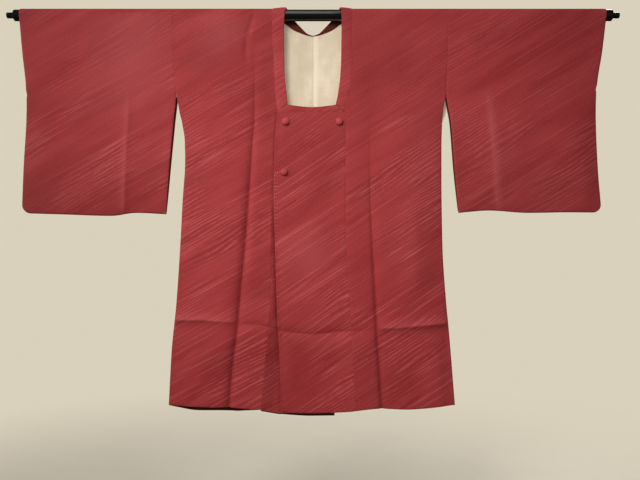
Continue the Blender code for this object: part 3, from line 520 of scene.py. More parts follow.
def body_depth(x, z, face):
    """Depth of the body's cloth from the rod's plane, on the front or the back."""
    outline = np.where(x > 0, read(BODY_SIDE[LEFT], "height", face, z),
                       -read(BODY_SIDE[RIGHT], "height", face, z))
    inside = outline - np.abs(x)
    edge = read(DRAPE, "height", "edge", z)
    middle = read(DRAPE, "height", face, z)
    lines = sum(crease_height(crease, x, z) for crease in CREASES[face])
    lines = lines + store_crease(x, z) + slow_waves(x, z, 0.0 if face == "front" else BACK_SHIFT)
    armhole = dip(inside) * ease(-z / TOP_FADE) * (z > UNDERARM_TOP)
    lines = lines * rise(inside, CREASE_SIDE_FADE)
    return edge + (middle - edge) * rise(inside, DRAPE_REACH) + lines - armhole


def front_depth(side, x, z):
    """Depth of one side's front, whose layer stands proud or back where the fronts cross."""
    across = 1 - ease((np.abs(x) - CROSS_HALF) / CROSS_FADE)
    lift = OVER_LIFT if side == LEFT else UNDER_LIFT
    return body_depth(x, z, "front") + lift * across * ease(-z / STAND_DROP)


print("depth at the waist:", round(float(front_depth(LEFT, np.array(0.0), np.array(-0.4))), 4))

# %% [markdown]
# ## Making cloth from grids
# Each piece is a grid of points in the middle of its wall, laid out as the maker cuts it.
# The grids of one piece are welded where they meet, and a Solidify modifier gives the wall
# and puts the lining's colour on the inner skin. The UV map holds places on the flat cloth
# in metres, turned so that one axis runs along the woven streaks.

# %% Streak directions
STREAKS = {
    "right body": (29.0, 0.31, 0.12), "left body": (32.5, 1.93, 0.47),
    "right sleeve": (29.5, 3.37, 0.83), "left sleeve": (31.5, 5.21, 1.29),
    "top overlap": (34.0, 7.07, 1.61), "under overlap": (31.0, 8.83, 2.05),
    "neck band": (30.0, 10.31, 2.47), "front band": (31.0, 12.13, 2.81),
    "lining": (0.0, 0.0, 0.0), "buttons": (24.0, 14.17, 3.31),
}
print("streaks on the right body rise at", STREAKS["right body"][0], "degrees")


def woven(u, v, piece):
    """Places on the flat cloth, turned to run along the streaks and moved to a place of their own."""
    degrees, along, across = STREAKS[piece]
    angle = math.radians(degrees)
    return (u * math.cos(angle) + v * math.sin(angle) + along,
            v * math.cos(angle) - u * math.sin(angle) + across)

# %% Welded sheets
Patch = namedtuple("Patch", "x y z u v turned press", defaults=(False, 0.0))
WELD = 0.00002


def quads(rows, columns, start):
    """Corner numbers of a grid's faces."""
    corner = start + np.arange(rows - 1)[:, None] * columns + np.arange(columns - 1)[None, :]
    return np.stack([corner, corner + 1, corner + columns + 1, corner + columns], -1).reshape(-1, 4)


def sheet_mesh(name, patches, turned_slot=0):
    """One mesh from patches, with its outer skin facing away from the rod's plane."""
    points, places, faces, turned, worn, start = [], [], [], [], [], 0
    for patch in patches:
        x, y, z, u, v, part, press = np.broadcast_arrays(*patch)
        points.append(np.stack([x, y, z], -1).reshape(-1, 3))
        places.append(np.stack([u, v], -1).reshape(-1, 2))
        faces.append(quads(x.shape[0], x.shape[1], start))
        turned.append((part[1:, 1:] & part[:-1, :-1]).ravel())
        worn.append(press.ravel())
        start += x.size
    points, places, faces, turned, worn = map(np.concatenate, (points, places, faces, turned, worn))
    mesh = bpy.data.meshes.new(name)
    mesh.from_pydata(points.tolist(), [], faces.tolist())
    corners = np.zeros(len(mesh.loops), int)
    mesh.loops.foreach_get("vertex_index", corners)
    mesh.uv_layers.new(name="cloth").data.foreach_set("uv", places[corners].ravel())
    mesh.polygons.foreach_set("material_index", (turned * turned_slot).astype(np.int32))
    mesh.attributes.new("press", "FLOAT", "POINT").data.foreach_set("value", worn.astype(float))
    work = bmesh.new()
    work.from_mesh(mesh)
    bmesh.ops.remove_doubles(work, verts=work.verts, dist=WELD)
    bmesh.ops.recalc_face_normals(work, faces=work.faces)
    outward = sum(face.normal.y * face.calc_center_median().y for face in work.faces)
    if outward < 0:
        bmesh.ops.reverse_faces(work, faces=work.faces)
    for face in work.faces:
        face.smooth = True
    work.to_mesh(mesh)
    work.free()
    return mesh


print("a grid of 3 by 3 points has", len(quads(3, 3, 0)), "faces")

# %% Cloth pieces with a wall
def add_piece(name, mesh, materials):
    """Puts a mesh in the scene with its materials."""
    piece = bpy.data.objects.new(name, mesh)
    bpy.context.scene.collection.objects.link(piece)
    for material in materials:
        mesh.materials.append(material)
    return piece


def sheet_piece(name, patches, materials, wall=WALL):
    """A cloth piece with a wall. Four materials are outer skin, inner skin, and both again where
    the edge is turned in; two are the cloth and its turned part; one is for all."""
    piece = add_piece(name, sheet_mesh(name, patches, len(materials) // 2), materials)
    thicken = piece.modifiers.new("wall", "SOLIDIFY")
    thicken.thickness = wall
    thicken.offset = 0.0
    thicken.use_even_offset = True
    thicken.use_quality_normals = True
    thicken.material_offset = 1 if len(materials) == 4 else 0
    area = sum(face.area for face in piece.data.polygons)
    print(name, "points", len(piece.data.vertices), "area", round(area, 4), "m2")
    return piece


def hang(piece, nodes, slot, flat, area, rests_on=("rod",)):
    """Attaches a cloth piece to the coat in place of the imported parts it stands for; the size it was cut to
    is not used.
    """
    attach(piece, "root")
    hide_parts(*nodes)


print("walls:", WALL * 1000, "mm, and", LINING_WALL * 1000, "mm for the lining")

# %% [markdown]
# ## Shader helpers
# Procedural cloth takes many small nodes. These helpers add a node with its settings and
# links in one line, so that each material below reads as a recipe.

# %% Node helpers
def add_node(tree, kind, inputs=(), **settings):
    """Adds a node; each input is a value, or the socket that feeds it."""
    node = tree.nodes.new("ShaderNode" + kind)
    for name, value in settings.items():
        setattr(node, name, value)
    for name, value in dict(inputs).items():
        if isinstance(value, bpy.types.NodeSocket):
            tree.links.new(value, node.inputs[name])
        else:
            node.inputs[name].default_value = value
    return node


def calc(tree, operation, *values):
    """One sum of numbers or sockets."""
    return add_node(tree, "Math", enumerate(values), operation=operation).outputs[0]


def band(tree, value, low, high):
    """0 below low, 1 above high, smooth between."""
    node = add_node(tree, "MapRange", {"Value": value, "From Min": low, "From Max": high},
                    interpolation_type="SMOOTHSTEP")
    return node.outputs["Result"]


def blend(tree, share, first, second):
    """A mix of two colours."""
    node = add_node(tree, "Mix", {0: share, 6: first, 7: second}, data_type="RGBA")
    return node.outputs[2]


def streaky(tree, place, along, across, shift, detail=1.0, rough=0.5):
    """Noise drawn out along the streaks: how many patches a metre along and across."""
    scaled = add_node(tree, "VectorMath", {0: place, 1: (along, across, 1.0), 2: (shift, shift * 1.7, 0.0)},
                      operation="MULTIPLY_ADD").outputs[0]
    settings = {"Vector": scaled, "Scale": 1.0, "Detail": detail, "Roughness": rough}
    return add_node(tree, "TexNoise", settings, noise_dimensions="2D").outputs[0]


def new_group(name, inputs, outputs):
    """An empty node group with named sockets, and its input and output nodes."""
    group = bpy.data.node_groups.new(name, "ShaderNodeTree")
    for title, kind, value in inputs:
        socket = group.interface.new_socket(title, in_out="INPUT", socket_type=kind)
        if value is not None:
            socket.default_value = value
    for title in outputs:
        group.interface.new_socket(title, in_out="OUTPUT", socket_type="NodeSocketFloat")
    return group, group.nodes.new("NodeGroupInput"), group.nodes.new("NodeGroupOutput")


print("node helpers:", ", ".join(tool.__name__ for tool in (add_node, calc, band, blend, streaky, new_group)))

# %% [markdown]
# ## Slanting streaks
# The cloth is dyed and woven in brushed lines that rise to the right. Pale and dark lines a
# few millimetres apart gather in clusters, fade along their length, and lie over broad soft
# shades. Noise that is drawn out along one axis makes each kind of line, and a slower noise
# decides where a cluster shows. The group gives masks only, and each material picks colours.

# %% Group: slanting streaks
streaks, source, sink = new_group(
    "slanting streaks", [("Place", "NodeSocketVector", None)],
    ["Pale lines", "Dark lines", "Broad shade", "Dark blur", "Relief"])
place = source.outputs["Place"]
cluster = band(streaks, streaky(streaks, place, 3.4, 12.0, 4.0, 1.0), 0.42, 0.66)
cluster_two = band(streaks, streaky(streaks, place, 3.8, 11.0, 47.0, 1.0), 0.48, 0.68)
broken = band(streaks, streaky(streaks, place, 34.0, 150.0, 71.0, 2.0, 0.6), 0.36, 0.62)
pale_fine = band(streaks, streaky(streaks, place, 8.0, 250.0, 11.0, 1.0, 0.5), 0.56, 0.76)
pale_long = band(streaks, streaky(streaks, place, 2.6, 230.0, 61.0, 0.5), 0.71, 0.80)
dark_fine = band(streaks, streaky(streaks, place, 7.0, 190.0, 29.0, 1.0, 0.5), 0.54, 0.76)
wander = streaky(streaks, place, 2.6, 12.0, 83.0, 2.0)
RIB_SPACING = 0.0080
across_line = add_node(streaks, "SeparateXYZ", {0: place}).outputs[1]
turns = calc(streaks, "ADD", calc(streaks, "MULTIPLY", across_line, 2 * math.pi / RIB_SPACING),
             calc(streaks, "MULTIPLY", wander, 34.0))
rib = calc(streaks, "SINE", turns)
back_rib = calc(streaks, "MULTIPLY", rib, -1.0)
rib_pale = calc(streaks, "MULTIPLY", band(streaks, rib, 0.35, 1.0),
                calc(streaks, "MULTIPLY_ADD", broken, 0.8, 0.2))
rib_dark = calc(streaks, "MULTIPLY", band(streaks, back_rib, 0.35, 1.0),
                calc(streaks, "MULTIPLY_ADD", broken, 0.6, 0.4))
pale = calc(streaks, "MULTIPLY", pale_fine, calc(streaks, "MULTIPLY_ADD", cluster, 0.86, 0.14))
pale = calc(streaks, "MAXIMUM", pale, calc(streaks, "MULTIPLY", rib_pale, cluster_two))
pale = calc(streaks, "MAXIMUM", pale, calc(streaks, "MULTIPLY", pale_long, 0.8))
dark = calc(streaks, "MULTIPLY", dark_fine, calc(streaks, "MULTIPLY_ADD", cluster, 0.76, 0.24))
dark = calc(streaks, "MAXIMUM", dark, calc(streaks, "MULTIPLY", rib_dark, cluster_two))
swath = calc(streaks, "MULTIPLY", streaky(streaks, place, 4.2, 34.0, 151.0, 2.0), 0.55)
broad = calc(streaks, "MULTIPLY_ADD", streaky(streaks, place, 3.4, 9.0, 97.0, 2.0), 0.45, swath)
broad = band(streaks, broad, 0.34, 0.66)
blur = band(streaks, streaky(streaks, place, 4.6, 11.0, 131.0, 1.0), 0.60, 0.80)
relief = calc(streaks, "MULTIPLY_ADD", calc(streaks, "MULTIPLY", rib, cluster_two), 0.5, pale_fine)
for title, value in (("Pale lines", pale), ("Dark lines", dark), ("Broad shade", broad),
                     ("Dark blur", blur), ("Relief", relief)):
    streaks.links.new(value, sink.inputs[title])
print("streaks group:", len(streaks.nodes), "nodes")

# %% [markdown]
# ## Crepe grain
# Up close the cloth is a crepe: hard-twisted threads pull the surface into tiny uneven
# grains a little under a millimetre long. The lining and the threads share the effect at
# their own size, so it is a group with its grain size as an input.

# %% Group: crepe grain
CREPE_GRAINS, LINING_GRAINS, THREAD_GRAINS = 1300.0, 1800.0, 2600.0
grain, source, sink = new_group(
    "crepe grain", [("Place", "NodeSocketVector", None), ("Grains a metre", "NodeSocketFloat", CREPE_GRAINS)],
    ["Grain", "Slub"])
place, size = source.outputs["Place"], source.outputs["Grains a metre"]
sized = add_node(grain, "VectorMath", {0: place, "Scale": size}, operation="SCALE").outputs[0]
twist = add_node(grain, "TexNoise", {"Vector": sized, "Scale": 1.0, "Detail": 2.0, "Roughness": 0.6},
                 noise_dimensions="2D").outputs[0]
threads = add_node(grain, "TexWave", {"Vector": sized, "Scale": 0.16, "Distortion": 2.0, "Detail": 1.0},
                   bands_direction="Y").outputs["Fac"]
grain.links.new(calc(grain, "MULTIPLY_ADD", threads, 0.35, twist), sink.inputs["Grain"])
slub = add_node(grain, "VectorMath", {0: place, 1: (60.0, 900.0, 1.0)}, operation="MULTIPLY").outputs[0]
slub = add_node(grain, "TexNoise", {"Vector": slub, "Scale": 1.0, "Detail": 1.0},
                noise_dimensions="2D").outputs[0]
grain.links.new(slub, sink.inputs["Slub"])
print("grain group:", len(grain.nodes), "nodes")

# %% [markdown]
# ## Crimson cloth
# The base is a warm crimson. Broad shades deepen it, a few blurs lean towards plum, and the
# pale and dark lines lie on top. The sheen is low and soft, as on dull silk, and a bump from
# the lines and the grain breaks up the light.

# %% Material helpers
def principled(name, roughness, sheen=0.0):
    """A new material with its node tree and its shader."""
    material = bpy.data.materials.new(name)
    material.use_nodes = True
    shader = material.node_tree.nodes["Principled BSDF"]
    shader.inputs["Roughness"].default_value = roughness
    shader.inputs["Sheen Weight"].default_value = sheen
    shader.inputs["Sheen Roughness"].default_value = 0.5
    return material, material.node_tree, shader


def use_group(tree, group, inputs):
    """Places a group in a material, and gives its outputs."""
    return add_node(tree, "Group", inputs, node_tree=group).outputs


def feed(tree, shader, **values):
    """Links sockets to the shader's; an underscore in a name stands for a space."""
    for name, value in values.items():
        tree.links.new(value, shader.inputs[name.replace("_", " ")])


def ranged(tree, value, low, high):
    """A value from 0 to 1 set between two others."""
    return add_node(tree, "MapRange", {"Value": value, "To Min": low, "To Max": high}).outputs[0]


def relief_normal(tree, height, strength, distance):
    """A normal from a height, which breaks up the light."""
    settings = {"Height": height, "Strength": strength, "Distance": distance}
    return add_node(tree, "Bump", settings).outputs[0]


print("material helpers:", ", ".join(tool.__name__ for tool in (use_group, feed, ranged, relief_normal)))

# %% Crimson cloth material
CRIMSON_LOW, CRIMSON_HIGH = np.array((0.218, 0.0146, 0.0160)), np.array((0.304, 0.0318, 0.0348))
# Of these tints, the pale and dark ones that follow the press number are a painted highlight and a painted
# shade, the shaded one is painted shade, and the last one is painted light for the buttons.
TINT = {
    "plum blur": (0.140, 0.0112, 0.0160, 1), "dark line": (0.160, 0.0068, 0.0066, 1),
    "pale line": (0.430, 0.0900, 0.0970, 1), "painted highlight": (0.430, 0.0880, 0.0940, 1),
    "painted shade": (0.120, 0.0036, 0.0034, 1), "pale speck": (0.360, 0.0480, 0.0560, 1),
    "dark speck": (0.150, 0.0090, 0.0120, 1), "shaded": (0.060, 0.0084, 0.0022, 1),
    "painted light": (0.460, 0.0750, 0.0900, 1),
}
PLAIN_ABOVE, LINED_BELOW, SHADE_FADE, DULL_SHINE = -0.08, -0.32, 0.12, 0.16


def crimson(name, pale_share, dark_share, blur_share, relief_depth, shade=0.0, glow=0.0,
            shade_from=None, plain_top=0.55, calm=0.0):
    """Crimson cloth whose lines show more or less; shade paints shade over it, glow paints light over it, and
    the press number paints a highlight above 0 and shade below.
    """
    material, tree, shader = principled(name, 0.72, 0.03)
    shader.inputs["Specular IOR Level"].default_value = DULL_SHINE
    place = add_node(tree, "UVMap", uv_map="cloth").outputs[0]
    lines = use_group(tree, streaks, {"Place": place})
    height = add_node(tree, "SeparateXYZ", {0: add_node(tree, "TexCoord").outputs["Object"]}).outputs[2]
    worn = add_node(tree, "MapRange", {"Value": height, "From Min": PLAIN_ABOVE, "From Max": LINED_BELOW,
                                       "To Min": plain_top}).outputs[0]
    # Painted highlight where the press number is above 0, painted shade where it is below.
    press = add_node(tree, "Attribute", attribute_name="press").outputs["Fac"]
    raised = add_node(tree, "MapRange", {"Value": press}).outputs[0]
    sunk = add_node(tree, "MapRange", {"Value": press, "From Max": -1.0}).outputs[0]
    speckle = streaky(tree, place, 330.0, 430.0, 17.0, 1.0)
    mean = (CRIMSON_LOW + CRIMSON_HIGH) / 2
    low, high = (end + (mean - end) * calm for end in (CRIMSON_LOW, CRIMSON_HIGH))
    colour = blend(tree, lines["Broad shade"], (*low, 1), (*high, 1))
    # Painted shade, growing below the given height.
    if shade_from:
        shade = calc(tree, "MULTIPLY", band(tree, height, shade_from, shade_from - SHADE_FADE), shade)
    dark, pale = (calc(tree, "MULTIPLY", worn, share) for share in (dark_share, pale_share))
    for share, tint in (
            (calc(tree, "MULTIPLY", lines["Dark blur"], blur_share), "plum blur"),
            (calc(tree, "MULTIPLY", lines["Dark lines"], dark), "dark line"),
            (calc(tree, "MULTIPLY", lines["Pale lines"], pale), "pale line"),
            (raised, "painted highlight"), (sunk, "painted shade"),
            (calc(tree, "MULTIPLY", band(tree, speckle, 0.40, 0.75), 0.18), "pale speck"),
            (calc(tree, "MULTIPLY", band(tree, speckle, 0.60, 0.25), 0.14), "dark speck"),
            (shade, "shaded"), (glow, "painted light")):
        if share:
            colour = blend(tree, share, colour, TINT[tint])
    fine_grain = use_group(tree, grain, {"Place": place, "Grains a metre": CREPE_GRAINS})
    fine = calc(tree, "MULTIPLY", fine_grain["Grain"], 0.07)
    relief = calc(tree, "MULTIPLY_ADD", lines["Relief"], relief_depth, fine)
    feed(tree, shader, Base_Color=colour, Roughness=ranged(tree, fine_grain["Slub"], 0.62, 0.82),
         Normal=relief_normal(tree, relief, 0.6, 0.0012))
    return material


cloth = crimson("crimson cloth", 0.58, 0.50, 0.30, 0.12, plain_top=0.30, calm=0.25)
left_cloth = crimson("crimson cloth with strong lines", 0.58, 0.64, 0.24, 0.14, plain_top=0.30, calm=0.50)
# The sleeves' cloth is painted darker below 0.27 m down: painted shade.
sleeve_cloth = crimson("crimson cloth of sleeves", 0.50, 0.42, 0.26, 0.10, 0.13, shade_from=-0.27, calm=0.35)
narrow_cloth = crimson("crimson cloth for bands", 0.50, 0.40, 0.35, 0.10)
# The facing is the crimson cloth mixed far towards a dark tint: painted shade for turned-in parts.
facing = crimson("crimson facing in painted shade", 0.20, 0.30, 0.20, 0.25, 0.92)
# The under overlap's cloth is painted darker towards its hem: painted shade.
shaded_under_cloth = crimson("crimson cloth in painted shade", 0.50, 0.50, 0.40, 0.12, 0.10, shade_from=-0.64)
print("cloth materials:", cloth.name, "and", narrow_cloth.name)

# %% [markdown]
# ## Cream lining
# The lining is plain cream silk, slightly uneven in its threads, with faint stains of age.
# Its long fine slubs run down the cloth, and it is a little shinier than the crepe.

# %% Cream lining material
LINING_GLOW, PRESSED_BRIGHTER = 0.38, 1.12


def cream(name, light, dark):
    """Cream silk that glows a little: painted light, which lifts the lining's shade."""
    material, tree, shader = principled(name, 0.6, 0.1)
    place = add_node(tree, "UVMap", uv_map="cloth").outputs[0]
    fine_grain = use_group(tree, grain, {"Place": place, "Grains a metre": LINING_GRAINS})
    stain = band(tree, streaky(tree, place, 14.0, 9.0, 3.0, 3.0, 0.6), 0.35, 0.70)
    slubs = band(tree, streaky(tree, place, 320.0, 22.0, 7.0, 2.0), 0.40, 0.70)
    cross = band(tree, streaky(tree, place, 18.0, 300.0, 9.0, 2.0), 0.42, 0.72)
    colour = blend(tree, stain, light, dark)
    colour = blend(tree, calc(tree, "MULTIPLY", slubs, 0.30), colour, dark)
    colour = blend(tree, calc(tree, "MULTIPLY", cross, 0.24), colour, dark)
    press = add_node(tree, "Attribute", attribute_name="press").outputs["Fac"]
    colour = blend(tree, press, colour, tuple(PRESSED_BRIGHTER * part for part in light[:3]) + (1,))
    # Painted light: the lining glows in its own colour, which lifts its shade.
    shader.inputs["Emission Strength"].default_value = LINING_GLOW
    relief = calc(tree, "ADD", calc(tree, "MULTIPLY", slubs, 0.3),
                  calc(tree, "MULTIPLY", fine_grain["Grain"], 0.2))
    feed(tree, shader, Base_Color=colour, Emission_Color=colour,
         Roughness=ranged(tree, slubs, 0.52, 0.70), Normal=relief_normal(tree, relief, 0.4, 0.0008))
    return material


lining_cloth = cream("cream lining", (0.512, 0.430, 0.318, 1), (0.415, 0.336, 0.236, 1))
print("lining material:", lining_cloth.name)

# %% [markdown]
# ## Body lengths
# Each side of the body is one long strip, from the front hem over the shoulder to the back
# hem, and the two meet at the centre back. The sides are closed below the underarm opening.
# The grid has close columns along the main fold and close rows along the level crease.

# %% Grid of the body
SETTLE_TURNS = 3
FOLD_HALF = 0.012
CREASE_REACH = 0.014
BODY_NECK_EDGE = 0.083
ARC_STEPS = 16
TIP_STEPS = 6
ARMHOLE_ROWS, UNDERARM_ROWS = 26, 12
BODY_ROWS = stations(ARMHOLE_ROWS, UNDERARM_ROWS, 60, 18, -26)
SEWN_FROM = ARMHOLE_ROWS + UNDERARM_ROWS
FRONT_COLUMNS = stations(-34, 18, -18)
BACK_COLUMNS = stations(-34, 18, -18, -18)
SEAM = 3
TIP_GROW, TIP_LEAST = 0.040, 0.1


def side_tip(z):
    """How far the closed side seam rounds out past the walls, from the underarm opening's foot down."""
    grown = TIP_LEAST + (1 - TIP_LEAST) * ease((UNDERARM_FOOT - z) / TIP_GROW)
    return SEAM_TIP * grown * (z <= UNDERARM_FOOT + 0.0001)


def body_across(side, face, z, columns, inset=0.0):
    """X of the body's columns at heights: side, both flanks of the fold, front seam, middle back."""
    outer = read(BODY_SIDE[side], "height", face, z) - side * (side_tip(z) + inset)
    line = crease_line(FOLD[side, face], z)
    inner = read(FRONT_SEAM, "height", WORD[side], z)
    if face == "back":
        inner = side * (BODY_NECK_EDGE + (np.abs(inner) - BODY_NECK_EDGE) * ease(z / UNDERARM_TOP))
    keys = [outer, line + side * FOLD_HALF, line - side * FOLD_HALF, inner]
    if face == "back":
        keys.append(np.zeros_like(z))
    return between(keys, columns, 1)


def body_heights(x, face, neck=0.0):
    """Z of the body's rows at places across: neck, underarm, both flanks of the level crease, hem."""
    crease = read(ACROSS, "across", "crease", x)
    hem = read(ACROSS, "across", face, x)
    keys = [neck, UNDERARM_TOP, UNDERARM_FOOT, crease + CREASE_REACH, crease - CREASE_REACH, hem]
    return between(keys, BODY_ROWS, 0)


def body_grid(side, face, columns, top=0.0, inset=0.0):
    """X and Z of one face; places and heights depend on each other, so they settle in turns."""
    z = np.full((len(BODY_ROWS), len(columns)), UNDERARM_FOOT)
    for _ in range(SETTLE_TURNS):
        x = body_across(side, face, z, columns, inset)
        neck = np.where(columns > SEAM, read(BACK_NECK, "across", "seam", np.abs(x)), 0.0)
        z = body_heights(x, face, np.minimum(neck, top))
    return body_across(side, face, z, columns, inset), z


print("body grid:", len(BODY_ROWS), "rows by", len(FRONT_COLUMNS), "columns in front and",
      len(BACK_COLUMNS), "behind")

# %% Cloth over the rod, and round a closed seam
OVER_ROD = np.pi * CLOTH_RADIUS


def over_rod(front_x, back_x):
    """Rows over the rod between the front's and the back's top rows."""
    angle = (np.pi * np.arange(ARC_STEPS + 1) / ARC_STEPS)[:, None]
    x = front_x + (back_x - front_x) * angle / np.pi
    y, z = -CLOTH_RADIUS * np.cos(angle), CLOTH_RADIUS * np.sin(angle)
    return x, y + 0 * x, z + 0 * x, CLOTH_RADIUS * angle


def round_tip(front, back, outward, size=SEAM_TIP):
    """Points that close a front edge to a back edge round a small tip."""
    angle = (np.pi * np.arange(TIP_STEPS + 1) / TIP_STEPS)[None, :]
    share = angle / np.pi
    (fx, fy, fz), (bx, by, bz) = ([part[:, None] for part in edge] for edge in (front, back))
    out_x, out_z = (part[:, None] if np.ndim(part) else part for part in outward)
    y = np.where(share < 0.5, fy, -by) * np.cos(angle)
    x = fx + (bx - fx) * share + size * out_x * np.sin(angle)
    z = fz + (bz - fz) * share + size * out_z * np.sin(angle)
    return x, y, z


print("cloth over the rod:", round(OVER_ROD * 1000, 1), "mm from front to back")

# %% Body pieces
# Along the hems the inner skin takes the crimson facing, which is in painted shade.
HEM_TURN = 0.014
NECK_SEAM_FADE = 0.01


def body_patches(side):
    """The front, the cloth over the rod, the back in two parts, and the closed side seam."""
    piece = WORD[side] + " body"
    fx, fz = body_grid(side, "front", FRONT_COLUMNS)
    bx, bz = body_grid(side, "back", BACK_COLUMNS)
    seam = read(FRONT_SEAM, "height", WORD[side], fz)
    below_neck = ease((NECK_SEAM - fz) / NECK_SEAM_FADE)
    front_hem, back_hem = (z - read(ACROSS, "across", face, x)
                           for face, x, z in (("front", fx, fz), ("back", bx, bz)))
    fy = -(front_depth(side, fx, fz) - dip(fx - seam) * below_neck - roll(front_hem))
    by = body_depth(bx, bz, "back") - dip(bx) * ease(-bz / TOP_FADE) - roll(back_hem)
    count = len(FRONT_COLUMNS)
    ax, ay, az, arc = over_rod(fx[0], bx[0, :count])
    back = (bx, by, bz, *woven(bx, OVER_ROD - bz, piece), back_hem < HEM_TURN)
    patches = [
        Patch(fx, fy, fz, *woven(fx, fz, piece), front_hem < HEM_TURN,
              painted_light_and_shade(piece, fx, fz) + level_painted_light(fx, fz)),
        Patch(ax, ay, az, *woven(ax, arc + 0 * ax, piece)),
        Patch(*(part[:, :count] for part in back)),
        Patch(*(part[:, count - 1:] for part in back)),
    ]
    rows = slice(SEWN_FROM, None)
    front_edge, back_edge = ([part[rows, 0] for part in face] for face in ((fx, fy, fz), (bx, by, bz)))
    tip = round_tip(front_edge, back_edge, (side, 0), side_tip(fz[rows, :1]))
    return patches + [Patch(*tip, *woven(tip[0], tip[2], piece), tip[2] < tip[2].min() + HEM_TURN)]


BODY_CUT = {RIGHT: ((0.322, 1.780), 0.457), LEFT: ((0.316, 1.780), 0.452)}
for side in (RIGHT, LEFT):
    outer = left_cloth if side == LEFT else cloth
    piece = sheet_piece(WORD[side] + "_body_length", body_patches(side),
                        (outer, lining_cloth, outer, facing))
    hang(piece, ("body_" + WORD[side],), "cloth", *BODY_CUT[side])

# %% [markdown]
# ## Overlaps
# The fronts are widened by a straight overlap each. The wearer's left lies on top, and its
# free edge stands off towards the hem. The under overlap sinks behind it, which makes the
# dark wedge beside that edge, and painted shade on the under overlap darkens the wedge more.

# %% Depth of the overlaps
OVERLAP_COLUMNS = stations(-44)
OVERLAP_ROWS = slice(ARMHOLE_ROWS, None)
WEDGE_DEPTH, WEDGE_REACH, WEDGE_TOP, WEDGE_FULL = 0.0100, 0.026, -0.50, -0.76
EDGE_SINK, EDGE_SINK_REACH, EDGE_SINK_TOP, EDGE_SINK_GROW = 0.0040, 0.0065, -0.30, 0.16
FRONT_LENGTH = 0.8682


def overlap_depth(side, x, z):
    """Depth of an overlap: the top one lifts towards its edge, the under one sinks from its seam."""
    depth = front_depth(side, x, z)
    if side == RIGHT:
        from_seam = x - read(FRONT_SEAM, "height", "right", z)
        low = ease((WEDGE_TOP - z) / (WEDGE_TOP - WEDGE_FULL))
        from_edge = np.clip(read(OVERLAP_EDGE, "height", "over", z) - x, 0, None)
        beside = EDGE_SINK * np.exp(-from_edge / EDGE_SINK_REACH)
        beside = beside * ease((EDGE_SINK_TOP - z) / EDGE_SINK_GROW)
        return depth - beside - WEDGE_DEPTH * np.clip(from_seam / WEDGE_REACH, 0, 1) * low
    free = 1 - ease((x - read(OVERLAP_EDGE, "height", "over", z)) / FREE_EDGE_REACH)
    return depth + FREE_EDGE_LIFT * free * ease((NECK_SEAM - z) / FRONT_LENGTH)


print("the under overlap sinks by up to", round((WEDGE_DEPTH + EDGE_SINK) * 1000, 1), "mm")

# %% Overlap pieces
HIDDEN_TURN, BARE_TURN = 0.022, 0.0035


def overlap_patch(side):
    """One overlap; the under one's turned hem is wide only where the top one hides its face."""
    edge_name, hem_name, piece = (("under", "under", "under overlap") if side == RIGHT
                                  else ("over", "front", "top overlap"))
    rows = len(BODY_ROWS[OVERLAP_ROWS])
    z = np.full((rows, len(OVERLAP_COLUMNS)), UNDERARM_FOOT)
    for _ in range(SETTLE_TURNS):
        seam = read(FRONT_SEAM, "height", WORD[side], z)
        edge = read(OVERLAP_EDGE, "height", edge_name, z)
        x = between([seam, edge], OVERLAP_COLUMNS, 1)
        crease = read(ACROSS, "across", "crease", x)
        hem = read(ACROSS, "across", hem_name, x)
        keys = [NECK_SEAM, UNDERARM_FOOT, crease + CREASE_REACH, crease - CREASE_REACH, hem]
        z = between(keys, BODY_ROWS[OVERLAP_ROWS] - 1, 0)
    depth = overlap_depth(side, x, z) - dip(x - seam) - roll(x - edge) - roll(z - hem)
    # The turned hem takes the crimson facing in painted shade; on the under overlap it covers both skins, and
    # is wide where the top overlap hides it.
    hidden = x > read(OVERLAP_EDGE, "height", "over", z)
    turn = HEM_TURN if side == LEFT else np.where(hidden, HIDDEN_TURN, BARE_TURN)
    return Patch(x, -depth, z, *woven(x, z, piece), z - hem < turn,
                 painted_light_and_shade(piece, x, z) + level_painted_light(x, z))


OVERLAP_CUT = {RIGHT: ((0.163, 0.676), 0.097), LEFT: ((0.170, 0.676), 0.108)}
OVERLAP_CLOTH = {RIGHT: (shaded_under_cloth, lining_cloth, facing, facing),
                 LEFT: (left_cloth, lining_cloth, left_cloth, facing)}
OVERLAP_NAME = {RIGHT: "under_overlap", LEFT: "top_overlap"}
for side in (RIGHT, LEFT):
    piece = sheet_piece(OVERLAP_NAME[side], [overlap_patch(side)], OVERLAP_CLOTH[side])
    hang(piece, ("okumi_" + WORD[side],), "cloth", *OVERLAP_CUT[side],
         rests_on=(WORD[side] + "_body_length",))

# %% [markdown]
# ## Sleeves
# A sleeve is one strip folded over at the shoulder, sewn along the bottom and up the outer
# edge to the wrist opening, with a rounded outer corner. Its inner edge stays open below the
# armhole. A soft ridge from folding runs down near the body.

# %% Sizes of the sleeves
SleeveLine = namedtuple("SleeveLine", "height inner fold outer")
SLEEVE_LINES = {
    RIGHT: (
        SleeveLine(0.000, -0.3150, -0.4120, -0.6505), SleeveLine(-0.080, -0.3110, -0.4125, -0.6440),
        SleeveLine(-0.173, -0.3033, -0.4134, -0.6361), SleeveLine(-0.240, -0.3095, -0.4165, -0.6390),
        SleeveLine(-0.340, -0.3190, -0.4195, -0.6450), SleeveLine(-0.443, -0.3274, -0.4225, -0.6490),
    ),
    LEFT: (
        SleeveLine(0.000, 0.3003, 0.3784, 0.6494), SleeveLine(-0.080, 0.2980, 0.3784, 0.6405),
        SleeveLine(-0.170, 0.2951, 0.3784, 0.6290), SleeveLine(-0.240, 0.3060, 0.3850, 0.6302),
        SleeveLine(-0.340, 0.3140, 0.3990, 0.6345), SleeveLine(-0.441, 0.3241, 0.4150, 0.6430),
    ),
}
SleeveBottom = namedtuple("SleeveBottom", "across height")
